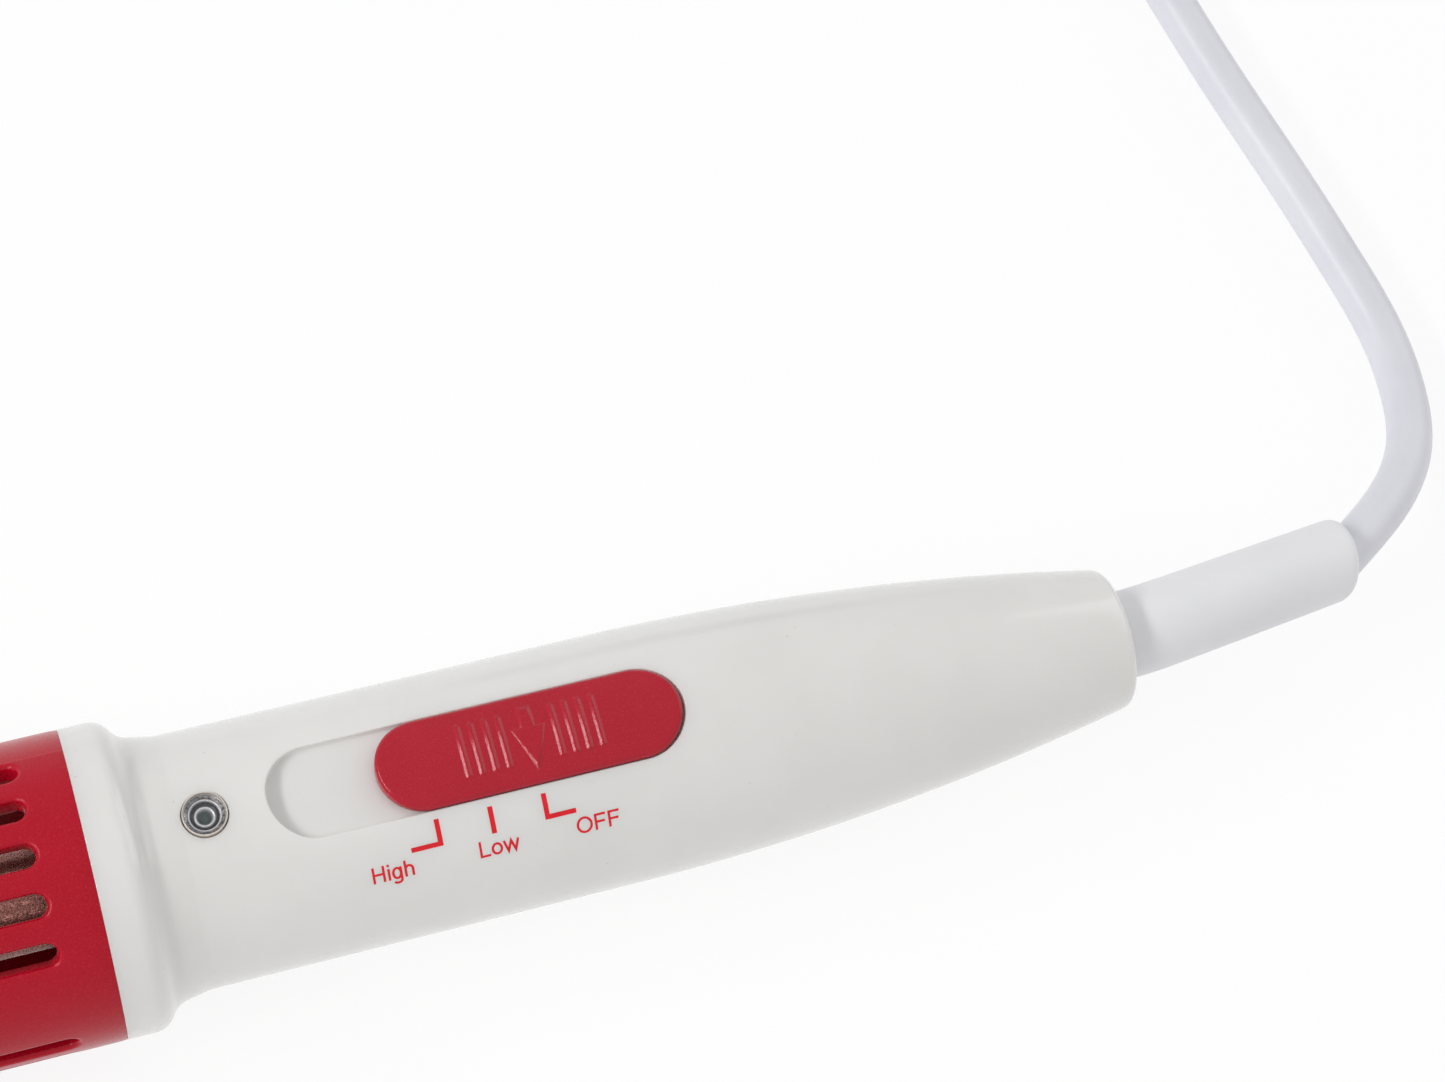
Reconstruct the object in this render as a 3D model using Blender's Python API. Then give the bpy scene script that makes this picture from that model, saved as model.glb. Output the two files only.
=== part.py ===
"""A mini craft iron lying on its heat guard: a slim turned handle with a slide switch,
a slotted guard round the heater, a small ironing shoe at the front and a mains cord
that runs off the back, lies on the table and is put away in a neat coil.

Lengths are in metres. Places on the iron are given in its own frame: along the axis
from the seam between guard and handle, towards the cord; sideways; and up."""

import math

import bmesh
import bpy
import numpy as np
from mathutils import Matrix, Vector

# Clearances that every fitted pair shares
GAP = 0.0003
OVERRUN = 0.0020
WELD = 0.000001
SMOOTH_BELOW = math.radians(35)

# Collar, grip and taper of the handle
COLLAR_R = 0.0178
COLLAR_LENGTH = 0.0047
COLLAR_EDGE_R = 0.0020
COLLAR_SLOPE = 0.0016
COLLAR_FOOT_R = 0.0020
NECK_STEP = 0.00075
NECK_LENGTH = 0.0040
GRIP_R = 0.0146
GRIP_END = 0.0600
HANDLE_LENGTH = 0.1230
TAIL_R = 0.0083
TAIL_EDGE_R = 0.0020
RIM_EDGE_R = 0.0003
HANDLE_WALL = 0.0022
TAPER_STEPS = 6
HANDLE_SIDES = 48

# Inside of the handle
RECESS_DEPTH = 0.0043
RECESS_WALL = 0.0019
SCREW_RING_R = 0.0109
SCREW_RING_LENGTH = 0.0034
SCREW_RING_SLOPE = 0.0012
TAIL_WALL = 0.0036
RAIL_WIDTH = 0.0022
RAIL_THICK = 0.0012
RAIL_END_SPARE = 0.0010

# Flat strip under guard and collar that the iron lies on
FLAT_DEPTH = 0.0005
AXIS_HEIGHT = COLLAR_R - FLAT_DEPTH

# Slide switch
SLOT_START = 0.0202
SLOT_LENGTH = 0.0477
SLOT_WIDTH = 0.0108
SLOT_DEPTH = 0.00185
SLOT_FLOOR = 0.0014
SLOT_WALL = 0.0016
SWITCH_TRAVEL = 0.0122
SLIT_WIDTH = 0.0030
KNOB_PROUD = 0.00045
STEM_LENGTH = 0.0080
RIB_COUNT = 4
RIB_PITCH = 0.00156
RIB_FIRST = 0.00305
RIB_LENGTH = 0.0067
RIB_WIDTH = 0.0009
RIB_HEIGHT = 0.00035
ARROW_LENGTH = 0.0076
ARROW_HEAD_LENGTH = 0.0050
ARROW_HEAD_WIDTH = 0.0037
ARROW_STEM_WIDTH = 0.0015
CARRIER_LENGTH = 0.0140
CARRIER_WIDTH = 0.0080
CARRIER_THICK = 0.0018
WIPER_THICK = 0.0004
WIPER_WIDTH = 0.0066
WIPER_DROP = 0.0028
LEAF_THICK = 0.0003
LEAF_RISE = 0.0014
LEAF_WIDTH = 0.0011

# Indicator lamp
LAMP_AT = 0.0132
LENS_R = 0.00235
LENS_PROUD = 0.0004
LENS_DOME = 0.0005
LENS_FLANGE_R = 0.0029
LENS_FLANGE_THICK = 0.0006
LENS_DEPTH = 0.0038
LENS_WALL = 0.0006
LENS_ROOF = 0.0017
NEON_LENGTH = 0.0046

# Circuit board and what stands on it
BOARD_START = 0.0240
BOARD_LENGTH = 0.0430
BOARD_WIDTH = 0.0216
BOARD_THICK = 0.0015
BOARD_UNDER = 0.0029
CONTACT_THICK = 0.0007
CONTACT_WIDTH = 0.0028
CONTACT_LENGTH = 0.0030
COMMON_LENGTH = 0.0220
DIODE_R = 0.0015
DIODE_LENGTH = 0.0055
RESISTOR_R = 0.0012
RESISTOR_LENGTH = 0.0070
PARTS_INSET = 0.0055
PARTS_SIDE = 0.0062

# Heat guard
GUARD_LENGTH = 0.0410
GUARD_WALL = 0.0020
GUARD_NOSE_LENGTH = 0.0072
GUARD_NOSE_R = 0.0126
GUARD_SHOULDER_R = 0.0060
GUARD_NOSE_EDGE_R = 0.0015
GUARD_MOUTH_R = 0.0070
GUARD_RING_LENGTH = 0.0030
SPIGOT_WALL = 0.0011
GUARD_SIDES = 60
VENT_WIDTH = 0.0030
VENT_LENGTH = 0.0262
VENT_START = 0.0051
TOP_VENTS = 5
SIDE_VENTS = 5
VENT_PITCH = math.radians(18.2)
VENT_STRIP = math.radians(47.2)
VENT_TURN = math.radians(-2.9)

# Heater, barrel and their fixing
BARREL_R = 0.0048
BARREL_WALL = 0.0008
BARREL_LENGTH = 0.0717
BARREL_TAIL = 0.0090
SLEEVE_WALL = 0.00075
SLEEVE_LENGTH = 0.0360
FLANGE_THICK = 0.0012
HUB_LENGTH = 0.0053
HUB_WALL = 0.0015
CORE_SPARE = 0.0043
CORE_TAIL = 0.0060
FLANGE_SCREWS = 3
SCREW_CIRCLE_R = 0.0126
SCREW_R = 0.0008
SCREW_HEAD_R = 0.0016
SCREW_HEAD_THICK = 0.0011
SCREW_LENGTH = 0.0041
LEAD_R = 0.0007
LEAD_SPREAD = 0.0017

# Tip end: bush, nut, stud and shoe
BUSH_R = 0.0053
BUSH_LENGTH = 0.0047
BUSH_PLUG_LENGTH = 0.0080
BUSH_FLOOR = 0.0020
BUSH_EDGE = 0.0005
STUD_R = 0.0023
NUT_ACROSS = 0.0090
NUT_THICK = 0.0030
BOSS_R = 0.0042
BOSS_LENGTH = 0.0145
BOSS_BORE_DEPTH = 0.0075
STUD_EDGE = 0.0004
SOLE_TILT = math.radians(30)
SHOE_LENGTH = 0.0320
SHOE_WIDTH = 0.0200
SHOE_HEIGHT = 0.0066
SHOE_DROP = 0.0052
SHOE_OUTLINE_STEPS = 40
SHOE_LEVEL_SHARES = ((0.0, 0.96), (0.09, 1.0), (0.62, 0.97), (0.90, 0.84), (1.0, 0.74))

# Strain relief at the handle's tail
RELIEF_R = 0.0053
RELIEF_END_R = 0.0050
RELIEF_EDGE_R = 0.0016
RELIEF_LENGTH = 0.0329
RELIEF_FLANGE_R = 0.0063
RELIEF_FLANGE_THICK = 0.0018
RELIEF_BEND_LENGTH = 0.0060
RELIEF_YAW = math.radians(8.3)
RELIEF_DROOP = math.radians(7.0)
INNER_CORD_LENGTH = 0.0170
CRIMP_LENGTH = 0.0050
CRIMP_WALL = 0.0010
CONDUCTOR_R = 0.0009

# Mains cord, on the table
CORD_D = 0.0058
CORD_YAW = math.radians(33)
CORD_DROOP = math.radians(9)
CORD_MOUTH_DEPTH = 0.0020
RUN_STEP_DIAMETERS = 1.6
VIEW_ROUTE = (
    (0.1681, 0.0138, 0.0093),
    (0.1726, 0.0198, 0.0067),
    (0.1752, 0.0270, 0.0044),
    (0.1761, 0.0357, 0.0031),
    (0.1747, 0.0465, 0.0029),
    (0.1720, 0.0603, 0.0029),
    (0.1681, 0.0780, 0.0029),
    (0.1645, 0.0970, 0.0029),
    (0.1592, 0.1230, 0.0031),
)
COIL_CENTRE = (0.1050, 0.1595)
COIL_MEAN_R = 0.0345
COIL_PITCH = 0.0063
COIL_LAYERS = 4
COIL_TURNS = 10.25
COIL_START = math.radians(12)
COIL_POINTS = 24
TIE_THICK = 0.0008
TIE_WIDTH = 0.0060
TIE_EDGE_R = 0.0030
TIE_AT = math.radians(205)
LEAD_OUT = 0.0560
LEAD_DROP_SHARES = ((0.18, 0.02), (0.40, 0.24), (0.62, 0.66), (0.84, 0.95))

# Flat two-pin plug
PLUG_LENGTH = 0.0360
PLUG_WIDTH = 0.0353
PLUG_THICK = 0.0137
PIN_R = 0.0020
PIN_LENGTH = 0.0190
PIN_SPACING = 0.0186
PIN_ROOT = 0.0060
PIN_EDGE = 0.0008
PLUG_RELIEF_LENGTH = 0.0180
PLUG_RELIEF_R = 0.0046
PLUG_SECTION_STEPS = 24
PLUG_STATION_SHARES = (
    (0.00, 0.34, 0.72), (0.06, 0.40, 0.84), (0.34, 0.88, 1.0), (0.50, 0.97, 1.0),
    (0.90, 1.0, 1.0), (0.97, 0.97, 0.95), (1.0, 0.93, 0.86))

# Places that follow from the sizes above
SEAM_HALF = GAP / 2
BARREL_FACE = -(BARREL_LENGTH + GAP)
BUSH_BACK = BARREL_FACE + BUSH_PLUG_LENGTH
BUSH_FACE = BARREL_FACE - BUSH_LENGTH
NUT_FRONT = BUSH_FACE - GAP - NUT_THICK
BOSS_BACK = NUT_FRONT - GAP
SHOE_AT = BOSS_BACK - BOSS_LENGTH
TOE_REACH = SHOE_LENGTH / 2 * math.cos(SOLE_TILT)
FRONT_END = SHOE_AT - TOE_REACH
REAR_END = HANDLE_LENGTH + RELIEF_LENGTH
SEAM_X = -(FRONT_END + REAR_END) / 2
SLOT_END = SLOT_START + SLOT_LENGTH
KNOB_LENGTH = SLOT_LENGTH - SWITCH_TRAVEL - 2 * GAP
KNOB_WIDTH = SLOT_WIDTH - 2 * GAP
KNOB_AT = SLOT_END - GAP - KNOB_LENGTH / 2
SLOT_FLOOR_Z = GRIP_R - SLOT_DEPTH
SLAB_UNDER_Z = SLOT_FLOOR_Z - SLOT_FLOOR
CAVITY_R = GRIP_R - HANDLE_WALL
RECESS_R = COLLAR_R - RECESS_WALL
BOARD_TOP = BOARD_UNDER + BOARD_THICK
CARRIER_UNDER = SLAB_UNDER_Z - GAP - CARRIER_THICK
SHOULDER_AT = HANDLE_LENGTH - TAIL_WALL
PLATE_BACK = RECESS_DEPTH - GAP
PLATE_FRONT = PLATE_BACK - FLANGE_THICK
SPIGOT_END = PLATE_FRONT - GAP
TABLE = -AXIS_HEIGHT


def rounded(corners, steps=3):
    """Outline through corners given as along, out and fillet radius. A fillet never
    takes more than half of the shorter side beside it."""
    points = []
    for k, (along, out, fillet) in enumerate(corners):
        here = Vector((along, out))
        if not fillet or k in (0, len(corners) - 1):
            points.append(here)
            continue
        back = Vector(corners[k - 1][:2]) - here
        ahead = Vector(corners[k + 1][:2]) - here
        half = back.angle(ahead) / 2
        reach = min(fillet / math.tan(half), back.length / 2, ahead.length / 2)
        radius = reach * math.tan(half)
        middle = (back.normalized() + ahead.normalized()).normalized()
        centre = here + middle * (radius / math.sin(half))
        first = here + back.normalized() * reach - centre
        turn = math.pi - 2 * half
        if back.x * ahead.y - back.y * ahead.x > 0:
            turn = -turn
        for step in range(steps + 1):
            points.append(centre + Matrix.Rotation(turn * step / steps, 2) @ first)
    return [tuple(point) for point in points]


def turned(outline, sides, closed=False):
    """Solid of revolution round the long axis from (along, radius) points. An open
    outline starts and ends on the axis, a closed one goes round a hollow section."""
    bm = bmesh.new()
    verts = [bm.verts.new((along, 0, radius)) for along, radius in outline]
    pairs = list(zip(verts, verts[1:])) + ([(verts[-1], verts[0])] if closed else [])
    edges = [bm.edges.new(pair) for pair in pairs]
    bmesh.ops.spin(bm, geom=verts + edges, cent=(0, 0, 0), axis=(1, 0, 0),
                   angle=math.tau, steps=sides, use_merge=True)
    bmesh.ops.remove_doubles(bm, verts=bm.verts, dist=WELD)
    bmesh.ops.recalc_face_normals(bm, faces=bm.faces)
    return bm


def upright(bm):
    """Turns a body made round the long axis so that it stands along the vertical."""
    bmesh.ops.rotate(bm, verts=bm.verts, matrix=Matrix.Rotation(-math.pi / 2, 3, "Y"))
    return bm


def prism(outline, low, high):
    """Upright prism over a flat outline."""
    bm = bmesh.new()
    face = bm.faces.new([bm.verts.new((x, y, low)) for x, y in outline])
    top = bmesh.ops.extrude_face_region(bm, geom=[face])["geom"]
    verts = [item for item in top if isinstance(item, bmesh.types.BMVert)]
    bmesh.ops.translate(bm, verts=verts, vec=(0, 0, high - low))
    bmesh.ops.recalc_face_normals(bm, faces=bm.faces)
    return bm


def joined(parts):
    """One mesh that holds several bodies which don't touch."""
    whole = bmesh.new()
    for part in parts:
        mesh = bpy.data.meshes.new("part")
        part.to_mesh(mesh)
        part.free()
        whole.from_mesh(mesh)
        bpy.data.meshes.remove(mesh)
    return whole


def moved(bm, place):
    bmesh.ops.translate(bm, verts=bm.verts, vec=place)
    return bm


def spun(bm, angle):
    """Turns a body about the long axis, from straight up towards the +Y side."""
    bmesh.ops.rotate(bm, verts=bm.verts, matrix=Matrix.Rotation(-angle, 3, "X"))
    return bm


def stadium(length, width, steps=8):
    """Outline with straight long sides and round ends."""
    points = []
    for end in (1, -1):
        for step in range(steps + 1):
            angle = math.pi * (step / steps - 0.5)
            x = (length - width) / 2 + width / 2 * math.cos(angle)
            points.append((end * x, end * width / 2 * math.sin(angle)))
    return points


def disc(radius, sides=16):
    angles = [math.tau * step / sides for step in range(sides)]
    return [(radius * math.cos(angle), radius * math.sin(angle)) for angle in angles]


def block(low, high):
    """Box between two corners."""
    outline = [(low[0], low[1]), (high[0], low[1]), (high[0], high[1]), (low[0], high[1])]
    return prism(outline, low[2], high[2])


def skin(rings):
    """Solid through equal rings of points, closed at both ends."""
    bm = bmesh.new()
    loops = [[bm.verts.new(point) for point in ring] for ring in rings]
    for one, two in zip(loops, loops[1:]):
        for k in range(len(one)):
            nxt = (k + 1) % len(one)
            bm.faces.new((one[k], one[nxt], two[nxt], two[k]))
    bm.faces.new(loops[0])
    bm.faces.new(loops[-1])
    bmesh.ops.recalc_face_normals(bm, faces=bm.faces)
    return bm


def tube(path, radii, sides=24):
    """Round solid along a path, with one radius for each point of it."""
    path = [Vector(point) for point in path]
    rings = []
    across = Vector((0, 1, 0))
    for k, point in enumerate(path):
        way = (path[min(k + 1, len(path) - 1)] - path[max(k - 1, 0)]).normalized()
        across = (across - way * across.dot(way)).normalized()
        upward = way.cross(across)
        rings.append([point + radii[k] * (math.cos(math.tau * j / sides) * across
                                          + math.sin(math.tau * j / sides) * upward)
                      for j in range(sides)])
    return skin(rings)


def strip(path, thick, width):
    """Bent sheet-metal strip: a path in the upright plane along the axis, thickened
    to both sides and as wide as given."""
    path = [Vector(point) for point in path]
    sides = []
    for k, point in enumerate(path):
        way = (path[min(k + 1, len(path) - 1)] - path[max(k - 1, 0)]).normalized()
        sides.append(Vector((-way.y, way.x)) * thick / 2)
    outline = [point + side for point, side in zip(path, sides)]
    outline += [point - side for point, side in reversed(list(zip(path, sides)))]
    bm = prism([tuple(point) for point in outline], -width / 2, width / 2)
    bmesh.ops.rotate(bm, verts=bm.verts, matrix=Matrix.Rotation(math.pi / 2, 3, "X"))
    return bm


def smooth_curve(points, start_way, end_way, step):
    """Points at even steps on the cubic curve through a route, which leaves the first
    point and reaches the last one in the given directions."""
    route = np.array(points)
    spans = np.linalg.norm(np.diff(route, axis=0), axis=1)
    count = len(route)
    matrix = np.zeros((count, count))
    right = np.zeros((count, 3))
    matrix[0, 0] = matrix[-1, -1] = 1
    right[0], right[-1] = start_way, end_way
    for k in range(1, count - 1):
        before, after = spans[k - 1], spans[k]
        matrix[k, k - 1:k + 2] = after, 2 * (before + after), before
        right[k] = 3 * (after * (route[k] - route[k - 1]) / before
                        + before * (route[k + 1] - route[k]) / after)
    slopes = np.linalg.solve(matrix, right)
    dense = []
    for k, span in enumerate(spans):
        t = np.linspace(0, 1, 60, endpoint=k == count - 2)[:, None]
        dense.append((2 * t**3 - 3 * t**2 + 1) * route[k]
                     + (3 * t**2 - 2 * t**3) * route[k + 1]
                     + span * ((t**3 - 2 * t**2 + t) * slopes[k]
                               + (t**3 - t**2) * slopes[k + 1]))
    dense = np.concatenate(dense)
    far = np.concatenate([[0], np.cumsum(np.linalg.norm(np.diff(dense, axis=0), axis=1))])
    even = np.linspace(0, far[-1], max(2, round(far[-1] / step) + 1))
    return np.stack([np.interp(even, far, dense[:, k]) for k in range(3)], axis=1)


def path_length(points):
    return float(np.linalg.norm(np.diff(points, axis=0), axis=1).sum())


def handle_radius(along):
    """Outer radius of the grip: straight, then curving in towards the tail."""
    share = max(0.0, (along - GRIP_END) / (HANDLE_LENGTH - GRIP_END))
    return GRIP_R - (GRIP_R - TAIL_R) * share**2


def relief_path():
    """Centre line of the strain relief: straight through the tail wall, then bent to
    the side that the cord goes to and a little down under its weight."""
    start = SHOULDER_AT - RELIEF_FLANGE_THICK - GAP
    points = [Vector((start, 0, 0)), Vector((start + RELIEF_FLANGE_THICK, 0, 0)),
              Vector((HANDLE_LENGTH, 0, 0))]
    steps = 6
    for step in range(steps):
        share = (step + 0.5) / steps
        yaw, droop = RELIEF_YAW * share, RELIEF_DROOP * share
        way = Vector((math.cos(yaw) * math.cos(droop), math.sin(yaw) * math.cos(droop),
                      -math.sin(droop)))
        points.append(points[-1] + way * RELIEF_BEND_LENGTH / steps)
    way = Vector((math.cos(RELIEF_YAW) * math.cos(RELIEF_DROOP),
                  math.sin(RELIEF_YAW) * math.cos(RELIEF_DROOP),
                  -math.sin(RELIEF_DROOP)))
    straight = RELIEF_LENGTH - RELIEF_BEND_LENGTH
    points.append(points[-1] + way * (straight - RELIEF_EDGE_R))
    return points, way


def coil_path():
    """Centre line of the coiled cord. The turns spiral in and out at a steady rate,
    and climb one layer in the half turn where the spiral reverses."""
    per_layer = COIL_TURNS / COIL_LAYERS
    swing = COIL_PITCH * per_layer / 2
    count = round(COIL_TURNS * COIL_POINTS)
    turns = np.linspace(0, COIL_TURNS, count + 1)
    phase = (turns / per_layer) % 2
    radius = COIL_MEAN_R + swing * (1 - 2 * np.where(phase < 1, phase, 2 - phase))
    height = np.full_like(turns, TABLE + TIE_THICK + GAP + CORD_D / 2)
    for layer in range(1, COIL_LAYERS):
        rise = np.clip((turns - layer * per_layer) * 2 + 0.5, 0, 1)
        height += COIL_PITCH * rise
    angle = COIL_START + math.tau * turns
    points = np.stack([COIL_CENTRE[0] + radius * np.cos(angle),
                       COIL_CENTRE[1] + radius * np.sin(angle), height], axis=1)
    first, last = points[1] - points[0], points[-1] - points[-2]
    first[2] = last[2] = 0
    first, last = first / np.linalg.norm(first), last / np.linalg.norm(last)
    points = np.concatenate([[points[0] - first * CORD_D], points,
                             [points[-1] + last * CORD_D]])
    return points, first, last


def least_gap(points, diameter, apart):
    """Smallest space between two stretches of a tube that lie at least so many points
    apart along it."""
    best = math.inf
    for k in range(len(points) - apart):
        away = np.linalg.norm(points[k + apart:] - points[k], axis=1).min()
        best = min(best, float(away) - diameter)
    return best


def arrow():
    """Outline of the arrow on the knob, pointing to the printed marks."""
    tip, top = -ARROW_LENGTH / 2, ARROW_LENGTH / 2
    neck = tip + ARROW_HEAD_LENGTH
    stem, head = ARROW_STEM_WIDTH / 2, ARROW_HEAD_WIDTH / 2
    return [(0, tip), (head, neck), (stem, neck), (stem, top), (-stem, top),
            (-stem, neck), (-head, neck)]


def teardrop(steps):
    """Pointed oval of unit length and width: the toe at +0.5, the heel round."""
    angles = [math.tau * (step + 0.5) / steps for step in range(steps)]
    wide = max(math.sin(angle) * math.sin(angle / 2) for angle in angles)
    return [(math.cos(angle) / 2, math.sin(angle) * math.sin(angle / 2) / (2 * wide))
            for angle in angles]


def material(name, colour, roughness, metallic=0.0, alpha=1.0):
    made = bpy.data.materials.new(name)
    made.use_nodes = True
    shader = made.node_tree.nodes["Principled BSDF"]
    shader.inputs["Base Color"].default_value = (*colour, 1)
    shader.inputs["Roughness"].default_value = roughness
    shader.inputs["Metallic"].default_value = metallic
    shader.inputs["Alpha"].default_value = alpha
    made.diffuse_color = (*colour, alpha)
    return made


def empty(name, parent=None, place=(0, 0, 0)):
    holder = bpy.data.objects.new(name, None)
    bpy.context.collection.objects.link(holder)
    holder.parent = parent
    holder.location = place
    return holder


def add(name, bm, skin_material, parent, place=(0, 0, 0)):
    """Makes a body's mesh an object of its own under a parent."""
    mesh = bpy.data.meshes.new(name)
    bm.to_mesh(mesh)
    bm.free()
    mesh.shade_smooth()
    mesh.set_sharp_from_angle(angle=SMOOTH_BELOW)
    mesh.materials.append(skin_material)
    return again(name, mesh, parent, place)


def again(name, mesh, parent, place):
    """A further copy of a mesh, as its own object."""
    body = bpy.data.objects.new(name, mesh)
    bpy.context.collection.objects.link(body)
    body.parent = parent
    body.location = place
    return body


def cord_tube(name, points, skin_material, parent, resolution):
    """Round cord along its centre line."""
    curve = bpy.data.curves.new(name, "CURVE")
    curve.dimensions = "3D"
    curve.bevel_depth = CORD_D / 2
    curve.bevel_resolution = resolution
    curve.use_fill_caps = True
    spline = curve.splines.new("POLY")
    spline.points.add(len(points) - 1)
    for point, place in zip(spline.points, points):
        point.co = (*place, 1)
    spline.use_smooth = True
    curve.materials.append(skin_material)
    return again(name, curve, parent, (0, 0, 0))


def combine(body, tool, operation="DIFFERENCE"):
    """Cuts, joins or trims a body with a tool body that isn't part of the model."""
    change = body.modifiers.new(tool.name, "BOOLEAN")
    change.operation = operation
    change.object = tool
    tool.hide_render = True
    tool.display_type = "WIRE"


def build_handle(root, white, tools):
    """Turned, hollow housing with collar, switch slot, lamp hole and tail bore."""
    stations = [GRIP_END + (HANDLE_LENGTH - GRIP_END) * step / TAPER_STEPS
                for step in range(TAPER_STEPS + 1)]
    foot = COLLAR_LENGTH + COLLAR_SLOPE
    ring_end = RECESS_DEPTH + SCREW_RING_LENGTH
    bore = RELIEF_R + GAP
    section = [(SEAM_HALF, RECESS_R, 0), (SEAM_HALF, COLLAR_R, RIM_EDGE_R),
               (COLLAR_LENGTH, COLLAR_R, COLLAR_EDGE_R),
               (foot, GRIP_R + NECK_STEP, COLLAR_FOOT_R),
               (foot + NECK_LENGTH, GRIP_R, NECK_LENGTH)]
    section += [(along, handle_radius(along), 0) for along in stations[:-1]]
    section += [(HANDLE_LENGTH, TAIL_R, TAIL_EDGE_R), (HANDLE_LENGTH, bore, 0),
                (SHOULDER_AT, bore, 0),
                (SHOULDER_AT, handle_radius(SHOULDER_AT) - HANDLE_WALL, 0)]
    section += [(along, handle_radius(along) - HANDLE_WALL, 0)
                for along in reversed(stations) if along < SHOULDER_AT]
    section += [(ring_end + SCREW_RING_SLOPE, CAVITY_R, 0), (ring_end, SCREW_RING_R, 0),
                (RECESS_DEPTH, SCREW_RING_R, 0), (RECESS_DEPTH, RECESS_R, 0)]
    shell = turned(rounded(section), HANDLE_SIDES, closed=True)
    housing = add("handle_housing", shell, white, root)

    slab = block((SLOT_START - SLOT_WALL, -GRIP_R, SLAB_UNDER_Z),
                 (SLOT_END + SLOT_WALL, GRIP_R, GRIP_R))
    inner = BOARD_WIDTH / 2 + GAP - RAIL_WIDTH
    rails = [block((BOARD_START - RAIL_END_SPARE, min(side * inner, side * GRIP_R),
                    BOARD_UNDER - GAP - RAIL_THICK),
                   (BOARD_START + BOARD_LENGTH + RAIL_END_SPARE,
                    max(side * inner, side * GRIP_R), BOARD_UNDER - GAP))
             for side in (1, -1)]
    webs = add("web_tool", joined([slab] + rails), white, root)
    core = [(ring_end, 0), (ring_end, GRIP_R - HANDLE_WALL / 2)]
    core += [(along, handle_radius(along) - HANDLE_WALL / 2) for along in stations[:-1]]
    core += [(stations[-2], 0)]
    combine(webs, add("web_core_tool", turned(core, HANDLE_SIDES), white, root), "INTERSECT")
    combine(housing, webs, "UNION")

    slot_at = SLOT_START + SLOT_LENGTH / 2
    pocket = prism(stadium(SLOT_LENGTH, SLOT_WIDTH, 12), SLOT_FLOOR_Z, GRIP_R + OVERRUN)
    combine(housing, add("slot_tool", pocket, white, root, (slot_at, 0, 0)))
    slit = prism(stadium(STEM_LENGTH + SWITCH_TRAVEL + 2 * GAP, SLIT_WIDTH, 5),
                 SLAB_UNDER_Z - OVERRUN, SLOT_FLOOR_Z + OVERRUN)
    combine(housing, add("slit_tool", slit, white, root, (slot_at, 0, 0)))
    hole = prism(disc(LENS_R + GAP, 24), CAVITY_R - OVERRUN, GRIP_R + OVERRUN)
    combine(housing, add("lamp_hole_tool", hole, white, root, (LAMP_AT, 0, 0)))
    combine(housing, tools["screw_holes"])
    combine(housing, tools["ground"])
    return housing


def build_guard(root, red, tools):
    """Slotted sleeve that keeps fingers off the hot barrel. Its spigot sits in the
    handle's collar. One group of slots is on top and one low on each side, and a plain
    strip between those two faces down."""
    spigot_r = RECESS_R - GAP
    wall_r = COLLAR_R - GUARD_WALL
    shoulder = -(GUARD_LENGTH - GUARD_NOSE_LENGTH)
    front, back = -GUARD_LENGTH, -GUARD_LENGTH + GUARD_WALL
    outline = [(-SEAM_HALF, COLLAR_R, 0), (shoulder, COLLAR_R, GUARD_SHOULDER_R),
               (front, GUARD_NOSE_R, GUARD_NOSE_EDGE_R), (front, GUARD_MOUTH_R, 0),
               (back, GUARD_MOUTH_R, 0), (back, GUARD_NOSE_R - GUARD_WALL, 0),
               (shoulder + GUARD_WALL / 2, wall_r, GUARD_SHOULDER_R - GUARD_WALL),
               (-GUARD_RING_LENGTH, wall_r, 0),
               (-GUARD_RING_LENGTH, spigot_r - SPIGOT_WALL, 0),
               (SPIGOT_END, spigot_r - SPIGOT_WALL, 0), (SPIGOT_END, spigot_r, 0),
               (-SEAM_HALF, spigot_r, 0)]
    guard = add("vent_guard", turned(rounded(outline), GUARD_SIDES, closed=True), red, root)
    cuts = []
    middle = -(VENT_START + VENT_LENGTH / 2)
    turns = [(vent - (TOP_VENTS - 1) / 2) * VENT_PITCH for vent in range(TOP_VENTS)]
    turns += [side * (turns[-1] + VENT_STRIP + vent * VENT_PITCH)
              for side in (1, -1) for vent in range(SIDE_VENTS)]
    for turn in turns:
        cut = prism(stadium(VENT_LENGTH, VENT_WIDTH, 5), wall_r - OVERRUN,
                    COLLAR_R + OVERRUN)
        cuts.append(spun(moved(cut, (middle, 0, 0)), VENT_TURN + turn))
    combine(guard, add("vent_tool", joined(cuts), red, root))
    combine(guard, tools["ground"])
    return guard


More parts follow.
